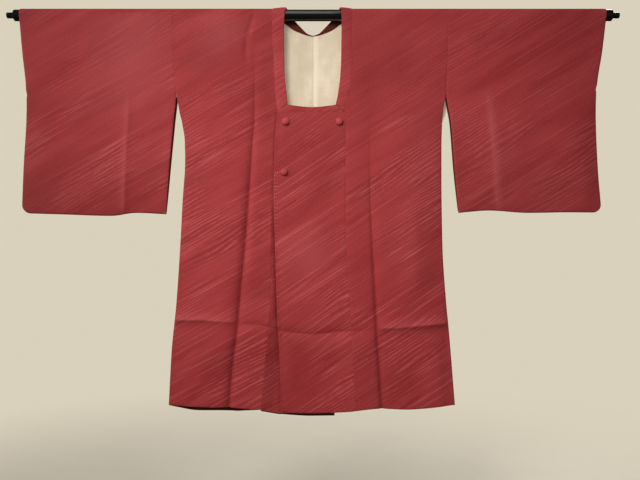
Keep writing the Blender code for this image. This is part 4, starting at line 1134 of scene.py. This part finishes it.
SLEEVE_BOTTOM = {
    RIGHT: (
        SleeveBottom(-0.655, -0.4405), SleeveBottom(-0.560, -0.4433), SleeveBottom(-0.450, -0.4466),
        SleeveBottom(-0.395, -0.4400), SleeveBottom(-0.327, -0.4430),
    ),
    LEFT: (
        SleeveBottom(0.324, -0.4400), SleeveBottom(0.392, -0.4348), SleeveBottom(0.480, -0.4400),
        SleeveBottom(0.570, -0.4388), SleeveBottom(0.650, -0.4395),
    ),
}
WRIST_FOOT = {RIGHT: -0.183, LEFT: -0.170}
BOTTOM_REACH, EDGE_REACH, CORNER = 0.110, 0.070, 0.016
SLEEVE_CREASES = {
    (RIGHT, "front"): (
        Crease(0.0034, 0.0240, 0.0100, 0.0030, 0.14, (
            (-0.4060, -0.120), (-0.4160, -0.324), (-0.4217, -0.434), (-0.4250, -0.520))),
        Crease(-0.0014, 0.022, 0.016, 0.008, 0.10, ((-0.5600, -0.080), (-0.5350, -0.240), (-0.5150, -0.440))),
        Crease(0.0013, 0.014, 0.020, 0.008, 0.08, ((-0.6100, -0.200), (-0.5950, -0.320), (-0.5700, -0.520))),
        Crease(-0.0012, 0.010, 0.012, 0.006, 0.08, ((-0.3450, -0.220), (-0.3500, -0.330), (-0.3580, -0.520))),
    ),
    (RIGHT, "back"): (
        Crease(0.0028, 0.018, 0.011, 0.004, 0.11, ((-0.4200, -0.100), (-0.4230, -0.260), (-0.4260, -0.520))),
        Crease(-0.0014, 0.018, 0.020, 0.008, 0.10, ((-0.5400, -0.060), (-0.5300, -0.220), (-0.5100, -0.420))),
        Crease(0.0012, 0.018, 0.014, 0.008, 0.08, ((-0.6000, -0.220), (-0.5850, -0.340), (-0.5700, -0.520))),
    ),
    (LEFT, "front"): (
        Crease(0.0026, 0.0120, 0.0300, 0.0060, 0.12, (
            (0.3840, -0.110), (0.4035, -0.312), (0.4121, -0.434), (0.4160, -0.520))),
        Crease(-0.0013, 0.020, 0.022, 0.008, 0.10, ((0.5050, -0.120), (0.5250, -0.260), (0.5500, -0.440))),
        Crease(0.0012, 0.014, 0.010, 0.006, 0.08, ((0.5900, -0.230), (0.6020, -0.320), (0.6150, -0.520))),
        Crease(0.0012, 0.012, 0.016, 0.008, 0.07, ((0.4600, -0.300), (0.4550, -0.380), (0.4480, -0.520))),
    ),
    (LEFT, "back"): (
        Crease(0.0028, 0.011, 0.018, 0.004, 0.11, ((0.3900, -0.100), (0.3960, -0.260), (0.4080, -0.520))),
        Crease(-0.0014, 0.020, 0.018, 0.008, 0.10, ((0.5200, -0.080), (0.5350, -0.240), (0.5500, -0.440))),
        Crease(0.0012, 0.014, 0.016, 0.008, 0.08, ((0.5950, -0.220), (0.5850, -0.340), (0.5800, -0.520))),
    ),
}
print("creases on the sleeves:", sum(len(rows) for rows in SLEEVE_CREASES.values()))

# %% Shape of the sleeves
FRONT_SHIFT, REAR_SHIFT = 0.9, 2.6
INNER_FADE, OUTER_FADE = 0.020, 0.016
SLEEVE_SEWN_FROM = 26
SLEEVE_ROWS = stations(SLEEVE_SEWN_FROM, 30, 6, -6)
SLEEVE_COLUMNS = stations(-16, 16, -30, 8)


def sleeve_across(side, z, columns):
    """X of the sleeve's columns at heights: inner edge, both flanks of the ridge, corner, outer edge."""
    lines = SLEEVE_LINES[side]
    armhole = read(BODY_SIDE[side], "height", "front", z)
    inner = np.where(z >= UNDERARM_TOP, armhole, read(lines, "height", "inner", z))
    ridge = read(lines, "height", "fold", z)
    outer = read(lines, "height", "outer", z)
    sewn = ease((WRIST_FOOT[side] + CORNER - z) / CORNER)
    keys = [inner, ridge - side * FOLD_HALF, ridge + side * FOLD_HALF,
            outer - side * CORNER, outer - side * SEAM_TIP * sewn]
    return between(keys, columns, 1)


def sleeve_depth(side, x, z, face):
    """Depth of the sleeve's cloth: shut at the bottom seam and at the outer seam below the wrist."""
    lines = SLEEVE_LINES[side]
    outer = np.abs(read(lines, "height", "outer", z))
    inner = np.abs(read(lines, "height", "inner", z))
    bottom = read(SLEEVE_BOTTOM[side], "across", "height", x)
    open_depth = read(DRAPE, "height", "sleeve", z)
    from_bottom = rise(z - bottom - SEAM_TIP, BOTTOM_REACH)
    shut = ease((WRIST_FOOT[side] - z) / EDGE_REACH)
    from_edge = 1 - shut * (1 - rise(outer - SEAM_TIP - np.abs(x), EDGE_REACH))
    lines_here = sum(crease_height(crease, x, z) for crease in SLEEVE_CREASES[side, face])
    lines_here = lines_here + slow_waves(x, z, FRONT_SHIFT if face == "front" else REAR_SHIFT)
    inside = np.abs(x) - inner
    soft = (rise(inside, INNER_FADE) * rise(outer - np.abs(x), OUTER_FADE)
            * rise(z - bottom - SEAM_TIP, OUTER_FADE))
    armhole = dip(inside) * ease(-z / TOP_FADE) * (z > UNDERARM_TOP)
    wrist = roll(outer - np.abs(x)) * (1 - shut) * ease(-z / TOP_FADE)
    open_edge = roll(inside) * (z <= UNDERARM_TOP)
    return (SEAM_TIP + (open_depth - SEAM_TIP) * from_bottom * from_edge + lines_here * soft
            - armhole - wrist - open_edge * from_bottom)


def round_corner(x, z, outer, bottom, side):
    """Moves points near the outer bottom corner onto a rounded outline."""
    across = CORNER - (outer - x) * side
    down = CORNER - (z - bottom)
    near = (across > 0) & (down > 0)
    far = np.hypot(across, down)
    shrink = np.where(near, np.maximum(across, down) / np.where(far > 0, far, 1), 1)
    return (np.where(near, outer - side * (CORNER - across * shrink), x),
            np.where(near, bottom + CORNER - down * shrink, z))


print("sleeve grid:", len(SLEEVE_ROWS), "rows by", len(SLEEVE_COLUMNS), "columns")

# %% Sleeve pieces
SLEEVE_TURN, BOTTOM_ROWS_REACH = 0.014, 0.050


def sleeve_patches(side):
    """The front, the cloth over the rod, the back, and the closed bottom and outer seam."""
    name = WORD[side] + " sleeve"
    z = np.full((len(SLEEVE_ROWS), len(SLEEVE_COLUMNS)), UNDERARM_TOP)
    ends = SLEEVE_LINES[side][0]
    for _ in range(SETTLE_TURNS):
        x = sleeve_across(side, z, SLEEVE_COLUMNS)
        share = (x - ends.inner) / (ends.outer - ends.inner)
        foot = UNDERARM_TOP + (WRIST_FOOT[side] - UNDERARM_TOP) * share
        bottom = read(SLEEVE_BOTTOM[side], "across", "height", x)
        keys = [0.0, foot, bottom + BOTTOM_ROWS_REACH, bottom + CORNER, bottom + SEAM_TIP]
        z = between(keys, SLEEVE_ROWS, 0)
    x = sleeve_across(side, z, SLEEVE_COLUMNS)
    front, back = sleeve_depth(side, x, z, "front"), sleeve_depth(side, x, z, "back")
    outer = read(SLEEVE_LINES[side], "height", "outer", z) - side * SEAM_TIP
    bottom = read(SLEEVE_BOTTOM[side], "across", "height", x) + SEAM_TIP
    x, z = round_corner(x, z, outer, bottom, side)
    ax, ay, az, arc = over_rod(x[0], x[0])
    inner = np.abs(read(SLEEVE_LINES[side], "height", "inner", z))
    # Near the open inner edge the inner skin takes the crimson facing, which is in painted shade.
    turned = (np.abs(x) - inner < SLEEVE_TURN) & (z < UNDERARM_TOP)
    patches = [Patch(x, -front, z, *woven(x, z, name), turned, painted_light_and_shade(name, x, z)),
               Patch(ax, ay, az, *woven(ax, arc + 0 * ax, name)),
               Patch(x, back, z, *woven(x, OVER_ROD - z, name), turned)]
    rim_x, rim_z, rim_front, rim_back = (
        np.concatenate([part[-1, :-1], part[SLEEVE_SEWN_FROM:, -1][::-1]]) for part in (x, z, front, back))
    along_x, along_z = np.gradient(rim_x), np.gradient(rim_z)
    length = np.hypot(along_x, along_z)
    outward = (side * along_z / length, -side * along_x / length)
    tip = round_tip((rim_x, -rim_front, rim_z), (rim_x, rim_back, rim_z), outward)
    return patches + [Patch(*tip, *woven(tip[0], tip[2], name))]


SLEEVE_CUT = {RIGHT: ((0.336, 0.929), 0.303), LEFT: ((0.350, 0.929), 0.308)}
for side in (RIGHT, LEFT):
    piece = sheet_piece(WORD[side] + "_sleeve", sleeve_patches(side),
                        (sleeve_cloth, lining_cloth, sleeve_cloth, facing))
    hang(piece, ("sleeve_" + WORD[side],), "cloth", *SLEEVE_CUT[side])

# %% [markdown]
# ## Neck bands
# A long strip, folded double, frames the neck up both sides and round the back. Each layer
# of the front has a short band across it, mitred into the upright ones. In section the band
# runs in from its outer seam, rolls round the neck edge and returns on the inside.

# %% Section of a folded band
BAND_LIFT = 0.0013
BAND_PUFF = {"upright": 0.0005, "top": 0.0004, "under": 0.0002}
BAND_ROLL = 0.0012
BAND_SEAM_LIFT, BAND_SINK = 0.0002, 0.0120
BAND_STAND = 0.003
FLAT_STEPS, ROLL_STEPS, BACK_STEPS, SEAM_SHORT = 14, 6, 6, 0.10
NECK_FOOT, NECK_DIP, BAND_FOOT = -0.2030, -0.0055, -0.2185


def band_section(width, edge, puff):
    """Shares across (0 at the neck edge) and lifts, from the outer seam round to the inside."""
    turn = BAND_ROLL / width
    outer = 1 - (1 - turn) * (1 - np.cos(np.pi * np.arange(FLAT_STEPS) / FLAT_STEPS)) / 2
    sunk = (BAND_LIFT - BAND_SEAM_LIFT) * np.exp(-(1 - outer) * width / BAND_SINK)
    flat = BAND_LIFT - sunk + puff * np.sin(np.pi * np.clip(outer, 0, 1))
    angle = np.pi * np.arange(ROLL_STEPS + 1) / ROLL_STEPS
    rolled = turn * (1 - np.sin(angle))
    down = BAND_LIFT - BAND_ROLL * (1 - np.cos(angle))
    back = turn + np.maximum(edge - SEAM_SHORT - turn, 0.0) * np.arange(1, BACK_STEPS + 1) / BACK_STEPS
    return (np.concatenate([outer, rolled, back]),
            np.concatenate([flat, down, np.full(BACK_STEPS, BAND_LIFT - 2 * BAND_ROLL)]))


INSIDE_FROM = FLAT_STEPS + ROLL_STEPS - 1
BAND_INSIDE = (np.arange(FLAT_STEPS + ROLL_STEPS + 1 + BACK_STEPS) >= INSIDE_FROM)[:, None]
print("band section:", len(BAND_INSIDE), "points")

# %% Rows of the upright and back band
BackStation = namedtuple("BackStation", "step upper lower")
BACK_STATIONS = (
    BackStation(0, 0.0550, 0.0900), BackStation(1, 0.0460, 0.0700), BackStation(2, 0.0360, 0.0520),
    BackStation(3, 0.0240, 0.0340), BackStation(4, 0.0130, 0.0170), BackStation(5, 0.0000, 0.0000),
)
UPRIGHT_ROWS, BEHIND_ROWS = 44, 40
OVER_WIDTH, BEHIND_WIDTH = 0.028, 0.024
MITRE_TOP = NECK_FOOT + 0.02


def upright_point(side, share, lift, z):
    """A point of the band at the front, at a share across from the neck edge."""
    name = WORD[side]
    inner = read(BAND, "height", name + "_in", z)
    outer = read(BAND, "height", name + "_out", z)
    x = inner + (outer - inner) * share
    stand = BAND_STAND * (1 - share) * (1 - ease(-z / STAND_DROP))
    return x, -(front_depth(side, x, z) + lift + stand), z


def behind_point(side, share, lift, step):
    """A point of the band behind the neck, outside the back."""
    upper, lower = (read(BACK_STATIONS, "step", name, step) for name in ("upper", "lower"))
    z_upper, z_lower = (read(BACK_NECK, "across", name, place)
                        for name, place in (("upper", upper), ("lower", lower)))
    x = side * (upper + (lower - upper) * share)
    z = z_upper + (z_lower - z_upper) * share
    return x, body_depth(x, z, "back") + lift, z


def seam_share_behind(side, step):
    """Where the back's neck seam crosses the band."""
    shares = np.linspace(0, 1, 101)
    x, _, z = behind_point(side, shares, 0.0, step)
    below = z <= read(BACK_NECK, "across", "seam", np.abs(x))
    return shares[np.argmax(below)] if below.any() else 1.0


def upright_rows(side):
    """Rows of points from the mitre up the front, over the rod and round to the middle back."""
    rows, puff = [], BAND_PUFF["upright"]
    for z in np.linspace(BAND_FOOT, 0.0, UPRIGHT_ROWS):
        inner, outer, seam = (float(read(table, "height", name, z)) for table, name in (
            (BAND, WORD[side] + "_in"), (BAND, WORD[side] + "_out"), (FRONT_SEAM, WORD[side])))
        share, lift = band_section(abs(outer - inner), (seam - inner) / (outer - inner), puff)
        mitred = ease((MITRE_TOP - z) / (MITRE_TOP - BAND_FOOT))
        slant = (1 - np.clip(share, 0, 1)) * (NECK_FOOT - BAND_FOOT) * mitred
        rows.append(upright_point(side, share, lift, z + slant))
    top_edge = seam_share_behind(side, 0.0)
    for angle in np.pi * np.arange(1, ARC_STEPS) / ARC_STEPS:
        part = angle / np.pi
        share, lift = band_section(OVER_WIDTH, top_edge, puff)
        start = upright_point(side, share, lift, np.zeros_like(share))
        end = behind_point(side, share, lift, 0.0)
        radius = -start[1] + (end[1] + start[1]) * part
        x = start[0] + (end[0] - start[0]) * part
        rows.append((x, -radius * math.cos(angle), radius * math.sin(angle)))
    for step in np.linspace(0.0, BACK_STATIONS[-1].step, BEHIND_ROWS):
        share, lift = band_section(BEHIND_WIDTH, seam_share_behind(side, step), puff)
        rows.append(behind_point(side, share, lift, step))
    return [np.stack(np.broadcast_arrays(*row)) for row in rows]


print("rows of the band on each side:", UPRIGHT_ROWS + ARC_STEPS - 1 + BEHIND_ROWS)

# %% The neck band as one piece
def run_along(points, axis):
    """Distance along rows of points, from 0 at the first."""
    steps = np.linalg.norm(np.diff(points, axis=axis), axis=0)
    return np.insert(np.cumsum(steps, axis - 1), 0, 0.0, axis - 1)


right_rows, left_rows = upright_rows(RIGHT), upright_rows(LEFT)
grid = np.stack(right_rows + left_rows[-2::-1], axis=1)
run = run_along(grid[:, :, FLAT_STEPS], 1)[:, None] + 0 * grid[0]
over = run_along(grid, 2)
# The band's inside return takes the crimson facing, which is in painted shade.
band_patch = Patch(*grid, *woven(over, run, "neck band"), BAND_INSIDE.T)
neck_band = sheet_piece("neck_band", [band_patch], (narrow_cloth, facing))
hang(neck_band, ("collar_band",), "cloth", (0.046, 0.800), 0.032,
     rests_on=("rod", "right_body_length", "left_body_length"))
print("neck band length", round(float(run.max()), 3))

# %% Bands across the front
MITRE_GAP = 0.0001
FRONT_BAND_COLUMNS = 40


def front_band_patch(side):
    """The band across one front, cut slanted at its ends to meet the upright ones."""
    upper_start, lower_start = BAND[-2].right_in + MITRE_GAP, BAND[-1].right_out + MITRE_GAP
    upper_end, lower_end = BAND[-2].left_in - MITRE_GAP, BAND[-1].left_out - MITRE_GAP
    if side == RIGHT:
        upper_end = lower_end = OVERLAP_EDGE[0].under
    puff = BAND_PUFF["top" if side == LEFT else "under"]
    columns = []
    for part in np.linspace(0, 1, FRONT_BAND_COLUMNS + 1):
        top = NECK_FOOT + NECK_DIP * math.sin(math.pi * part)
        edge = (NECK_SEAM - top) / (BAND_FOOT - top)
        share, lift = band_section(top - BAND_FOOT, edge, puff)
        upper = upper_start + (upper_end - upper_start) * part
        lower = lower_start + (lower_end - lower_start) * part
        x = upper + (lower - upper) * share
        z = top + (BAND_FOOT - top) * share
        columns.append(np.stack([x, -(overlap_depth(side, x, z) + lift), z]))
    x, y, z = np.stack(columns, axis=2)
    return Patch(x, y, z, *woven(x, z, "front band"), BAND_INSIDE)


FRONT_BAND_CUT = {RIGHT: ((0.126, 0.026), 0.0026), LEFT: ((0.146, 0.026), 0.0030)}
# The front bands' inside returns take the crimson facing, which is in painted shade.
for side, name in ((RIGHT, "under_front_band"), (LEFT, "top_front_band")):
    piece = sheet_piece(name, [front_band_patch(side)], (narrow_cloth, facing))
    hang(piece, ("collar_front_" + WORD[side],), "cloth", *FRONT_BAND_CUT[side],
         rests_on=(OVERLAP_NAME[side],))

# %% [markdown]
# ## Back lining
# The lining shows through the neck. Its halves meet in a centre seam, whose pressed seam
# allowance lies to the wearer's left and makes a paler strip. It hangs just inside the back,
# with slight slack across.

# %% Lining pieces
LINING_TOP, LINING_FOOT, LINING_INSET = -0.0145, -0.600, 0.0025
ALLOWANCE, ALLOWANCE_EDGE, ALLOWANCE_LIFT, ALLOWANCE_PALE = (0.0012, 0.0112), 0.0012, 0.0006, 0.55
SLACK, SLACK_DOWN, SLACK_SLANT, SLACK_ACROSS = 0.0007, 95.0, 9.0, 52.0
SLACK_FROM, SLACK_GROW = 0.05, 0.04
LINING_CUT = ((0.302, 0.580), 0.168)


def lining_patch(side):
    """One half of the lining, just inside the back, with its seam allowance standing proud."""
    x, z = body_grid(side, "back", BACK_COLUMNS, LINING_TOP, LINING_INSET)
    inward = WALL / 2 + GAP + LINING_WALL / 2
    proud = ease((x - ALLOWANCE[0]) / ALLOWANCE_EDGE) * ease((ALLOWANCE[1] - x) / ALLOWANCE_EDGE)
    depth = body_depth(x, z, "back") - inward - ALLOWANCE_LIFT * proud
    slack = SLACK * np.sin(z * SLACK_DOWN + x * SLACK_SLANT) * np.sin(x * SLACK_ACROSS)
    depth = depth - np.abs(slack * ease((-z - SLACK_FROM) / SLACK_GROW))
    keep = int(np.sum(z[:, -1] > LINING_FOOT))
    x, depth, z, proud = (part[:keep] for part in (x, depth, z, proud))
    return Patch(x, depth, z, x, z, press=ALLOWANCE_PALE * proud)


for side in (RIGHT, LEFT):
    piece = sheet_piece(WORD[side] + "_lining", [lining_patch(side)], (lining_cloth,), LINING_WALL)
    hang(piece, ("lining_" + WORD[side],), "lining", *LINING_CUT,
         rests_on=(WORD[side] + "_body_length",))

# %% [markdown]
# ## Covered buttons
# The buttons are low domes covered in the coat's own cloth, gathered under the rim. A
# profile is turned round the button's axis, and the rim is rippled a little by the gathers.

# %% Button pieces
# The button cloth is mixed towards a brighter crimson: painted light, so the domes look lit.
button_cloth = crimson("crimson button cloth", 0.30, 0.15, 0.0, 0.12, glow=0.30)
BUTTON_NODES = ("button_top_right", "button_top_left", "button_waist")
BUTTON_SIDES, BUTTON_RINGS = 56, 14
BUTTON_DROP, BUTTON_SHARE = 0.0032, 0.97
DOME_TURN, DOME_SHARE, TUCK = 0.72, 0.70, 0.55
OUT_ROUNDING, UP_ROUNDING = 0.92, 0.85
GATHERS, GATHER_SIZE, GATHER_FROM = 13, 0.030, 0.55


def button_patch(low, high):
    """The dome from its middle to the rim and in behind it, in the box of its node."""
    radius = (high.x - low.x) / 2
    depth = high.y - low.y
    middle_x, middle_z = (low.x + high.x) / 2, (low.z + high.z) / 2 - BUTTON_DROP
    turn = np.linspace(0, 2 * np.pi, BUTTON_SIDES + 1)[None, :]
    arc = np.linspace(0, 1, BUTTON_RINGS + 1)[:, None]
    angle = arc * np.pi * DOME_TURN
    quarter = np.minimum(angle, np.pi / 2)
    beyond = np.maximum(angle / (np.pi / 2) - 1, 0)
    out = radius * np.where(beyond > 0, 1 - TUCK * beyond, np.sin(quarter) ** OUT_ROUNDING)
    rim = 1 - DOME_SHARE
    up = depth * np.where(beyond > 0, rim * (1 - beyond / (2 * DOME_TURN - 1)),
                          rim + DOME_SHARE * np.cos(quarter) ** UP_ROUNDING)
    gathered = np.clip((arc - GATHER_FROM) / (1 - GATHER_FROM), 0, 1)
    gather = 1 + GATHER_SIZE * np.sin(GATHERS * turn) * gathered
    x = middle_x + out * gather * np.cos(turn) * BUTTON_SHARE
    z = middle_z + out * gather * np.sin(turn) * BUTTON_SHARE
    y = high.y - up + 0 * turn
    return Patch(x, y, z, *woven(x, z, "buttons"))


for node in BUTTON_NODES:
    low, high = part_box(node)
    name = "covered_" + node
    piece = add_piece(name, sheet_mesh(name, [button_patch(low, high)]), (button_cloth,))
    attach(piece, "root")
    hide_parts(node)
    print(node, "is", round((high.x - low.x) * 1000, 1), "mm across")

# %% [markdown]
# ## Stitches
# Small slanted stitches hold the top overlap's edge, and finer ones run down the lining's
# centre seam. Each is a short arched thread that dips into the cloth at both ends.

# %% Thread material
def thread_material(name, colour):
    """Twisted thread, darker where the twist sinks."""
    material, tree, shader = principled(name, 0.6)
    place = add_node(tree, "UVMap", uv_map="cloth").outputs[0]
    twist = use_group(tree, grain, {"Place": place, "Grains a metre": THREAD_GRAINS})
    dark = tuple(part * 0.6 for part in colour[:3]) + (1,)
    feed(tree, shader, Base_Color=blend(tree, twist["Grain"], dark, colour),
         Normal=relief_normal(tree, twist["Grain"], 0.4, 0.0004))
    return material


pink_thread = thread_material("pink thread", (0.55, 0.15, 0.15, 1))
cream_thread = thread_material("cream thread", (0.36, 0.25, 0.15, 1))
print("threads:", pink_thread.name, "and", cream_thread.name)

# %% Stitch pieces
STITCH_STEPS, STITCH_SIDES, THIN_END = 8, 6, 0.35


def stitch_patch(start, end, arch, radius):
    """A thread from start to end that arches out towards the viewer."""
    share = np.linspace(0, 1, STITCH_STEPS + 1)[:, None]
    turn = np.linspace(0, 2 * np.pi, STITCH_SIDES + 1)[None, :]
    start, end = np.array(start), np.array(end)
    run = end - start
    across = np.array([-run[2], 0.0, run[0]]) / np.linalg.norm(run)
    belly = np.sin(np.pi * share)
    thick = radius * (THIN_END + (1 - THIN_END) * belly)
    x, y, z = (start[axis] + run[axis] * share + thick * across[axis] * np.cos(turn) for axis in range(3))
    return Patch(x, y - arch * belly - thick * np.sin(turn), z,
                 share * np.linalg.norm(run), turn * radius)


def stitch_row(name, patches, material):
    """Many stitches as one piece, which moves with the coat."""
    piece = add_piece(name, sheet_mesh(name, patches), (material,))
    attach(piece, "root")
    print(name, len(patches), "stitches")

# %% Stitches along the top overlap's edge
EDGE_STITCHES = np.arange(-0.352, -0.690, -0.0078)
STITCH_PAIR = ((0.0012, 0.0036), (0.0050, 0.0078))
STITCH_DROP, STITCH_ARCH, STITCH_RADIUS = 0.0012, 0.0005, 0.00055
SWAY, LENGTHS, WIDTHS = 0.0007, (0.6, 1.2), (0.7, 1.2)
WORN_BELOW, WORN_SIZE, WORN_AWAY = -0.47, 0.6, 0.55


def edge_stitch(edge, z, start, end, sway, length, width):
    """One slanted stitch on the top overlap, between two distances from its edge."""
    ends = []
    for away, drop in ((start, -STITCH_DROP), (start + (end - start) * length, STITCH_DROP)):
        x, height = edge + away + sway, z + drop * length
        depth = float(overlap_depth(LEFT, np.array(x), np.array(height)) + WALL / 2 - roll(x - edge))
        ends.append((x, -depth, height))
    return stitch_patch(*ends, STITCH_ARCH, STITCH_RADIUS * width)


edge_patches = []
uneven = np.random.default_rng(5)
for z in EDGE_STITCHES:
    edge = float(read(OVERLAP_EDGE, "height", "over", z))
    sway, length, width = uneven.uniform(-SWAY, SWAY), uneven.uniform(*LENGTHS), uneven.uniform(*WIDTHS)
    if z < WORN_BELOW:
        length, width = length * WORN_SIZE, width * WORN_SIZE
        if uneven.random() < WORN_AWAY:
            continue
    edge_patches += [edge_stitch(edge, z, start, end, sway, length, width) for start, end in STITCH_PAIR]
stitch_row("edge_stitches", edge_patches, pink_thread)

# %% Stitches down the lining's seam
SEAM_STITCHES = np.arange(-0.062, -0.230, -0.0060)
UPPER_END, LOWER_END, HALF_RISE = -0.0012, -0.0004, 0.0009
FINE_ARCH, FINE_RADIUS = 0.0002, 0.0003
seam_patches = []
for z in SEAM_STITCHES:
    depth = float(body_depth(np.array(0.0), np.array(z), "back")) - WALL / 2 - GAP - LINING_WALL
    upper, lower = (UPPER_END, depth, z + HALF_RISE), (LOWER_END, depth, z - HALF_RISE)
    seam_patches.append(stitch_patch(upper, lower, FINE_ARCH, FINE_RADIUS))
stitch_row("lining_stitches", seam_patches, cream_thread)

# %% [markdown]
# ## Rod
# The rod is a plain steel tube in gloss black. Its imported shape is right, so it stays and
# only gets a finish: a smooth coat whose roughness varies a little, as on used lacquer.

# %% Rod finish
lacquer, tree, shader = principled("black lacquer", 0.25)
shader.inputs["IOR"].default_value = 1.5
spot = add_node(tree, "TexCoord").outputs["Object"]
wear = add_node(tree, "TexNoise", {"Vector": spot, "Scale": 60.0, "Detail": 4.0}).outputs[0]
feed(tree, shader, Roughness=ranged(tree, wear, 0.07, 0.13),
     Base_Color=blend(tree, wear, (0.0030, 0.0030, 0.0032, 1), (0.0075, 0.0072, 0.0070, 1)))
rod = frame["nodes"]["rod"]
for slot in rod.material_slots:
    slot.material = lacquer
print("rod finish:", lacquer.name)

# %% [markdown]
# ## Floor, light and surroundings
# Five lamps light the coat. The key hangs high at the front left and makes the folds readable,
# and a narrow one rakes from the far left. A fill comes from the right, one above gives
# the rod its shine, and one behind serves the back. The floor fades into the plain
# surroundings, so no edge shows.

# %% Light of the surroundings
def plain_light(tree, kind, colour, strength):
    """An even light, as a Background or an Emission."""
    return add_node(tree, kind, {"Color": colour, "Strength": strength}).outputs[0]


def either(tree, share, first, second):
    """The second shader where the share is 1, and the first where it is 0."""
    return add_node(tree, "MixShader", {0: share, 1: first, 2: second}).outputs[0]


print("light helpers:", plain_light.__name__, "and", either.__name__)

# %% Surroundings
BACKDROP = (0.700, 0.635, 0.500, 1)
AMBIENT = (0.90, 0.93, 1.00, 1)
AMBIENT_STRENGTH = 0.15
REFLECTED_STRENGTH = 0.05
world = bpy.data.worlds.new("studio")
bpy.context.scene.world = world
world.use_nodes = True
tree = world.node_tree
tree.nodes.clear()
ray = add_node(tree, "LightPath").outputs
seen = plain_light(tree, "Background", BACKDROP, 1.0)
felt = plain_light(tree, "Background", AMBIENT, AMBIENT_STRENGTH)
dim = plain_light(tree, "Background", AMBIENT, REFLECTED_STRENGTH)
mixed = either(tree, ray["Is Camera Ray"], either(tree, ray["Is Glossy Ray"], felt, dim), seen)
add_node(tree, "OutputWorld", {"Surface": mixed})
print("surroundings:", world.name, "with strength", AMBIENT_STRENGTH)

# %% Floor
FLOOR_HEIGHT, FLOOR_RADIUS, FADE_FROM, FADE_TO = -1.30, 3.2, 0.5, 2.3
mesh = bpy.data.meshes.new("floor")
work = bmesh.new()
bmesh.ops.create_circle(work, cap_ends=True, radius=FLOOR_RADIUS, segments=96)
work.to_mesh(mesh)
work.free()
floor_material, tree, shader = principled("pale floor", 0.9)
spot = add_node(tree, "TexCoord").outputs["Object"]
tone = add_node(tree, "TexNoise", {"Vector": spot, "Scale": 3.0, "Detail": 3.0}).outputs[0]
feed(tree, shader, Base_Color=blend(tree, tone, (0.66, 0.61, 0.50, 1), (0.74, 0.69, 0.57, 1)))
ray = add_node(tree, "LightPath").outputs
seen = plain_light(tree, "Emission", BACKDROP, 1.0)
felt = plain_light(tree, "Emission", BACKDROP, AMBIENT_STRENGTH)
dim = plain_light(tree, "Emission", BACKDROP, REFLECTED_STRENGTH)
far = add_node(tree, "VectorMath", {0: spot}, operation="LENGTH").outputs["Value"]
glow = either(tree, ray["Is Camera Ray"], felt, seen)
mixed = either(tree, band(tree, far, FADE_FROM, FADE_TO), shader.outputs[0], glow)
mixed = either(tree, ray["Is Glossy Ray"], mixed, dim)
tree.links.new(mixed, tree.nodes["Material Output"].inputs["Surface"])
floor = add_piece("floor", mesh, (floor_material,))
floor.location = (0.0, 0.0, FLOOR_HEIGHT)
print("floor:", FLOOR_RADIUS * 2, "m across,", -FLOOR_HEIGHT, "m below the rod")

# %% Lamps
Lamp = namedtuple("Lamp", "name place aim width height spread power colour")
LAMPS = (
    Lamp("key", (-0.8, -2.2, 0.8), (0.0, 0.0, -0.50), 0.9, 0.9, 46, 4.95, (1.0, 0.97, 0.92)),
    Lamp("rake", (-2.5, -0.9, 0.25), (0.4, 0.0, -0.40), 0.6, 0.8, 40, 2.4, (0.96, 1.0, 1.0)),
    Lamp("fill", (0.9, -2.2, 0.3), (0.2, 0.0, -0.50), 1.0, 1.0, 180, 8.7, (0.96, 0.98, 1.0)),
    Lamp("overhead", (-0.20, -1.10, 1.40), (-0.1, 0.0, -0.1), 0.7, 1.5, 180, 8.6, (1.0, 0.96, 0.90)),
    Lamp("behind", (1.2, 2.4, 1.0), (0.0, 0.0, -0.45), 1.6, 1.2, 180, 60.0, (1.0, 0.97, 0.92)),
)
for lamp in LAMPS:
    area = bpy.data.lights.new(lamp.name, "AREA")
    area.shape = "RECTANGLE"
    area.size, area.size_y = lamp.width, lamp.height
    area.energy, area.color = lamp.power, lamp.colour
    area.spread = math.radians(lamp.spread)
    holder = bpy.data.objects.new(lamp.name, area)
    bpy.context.scene.collection.objects.link(holder)
    holder.location = lamp.place
    look = np.array(lamp.aim) - np.array(lamp.place)
    flat = math.hypot(look[0], look[1])
    holder.rotation_euler = (math.pi / 2 + math.atan2(look[2], flat), 0.0, math.atan2(-look[0], look[1]))
bpy.context.scene.view_settings.view_transform = "Standard"
print("lamps:", ", ".join(lamp.name for lamp in LAMPS))
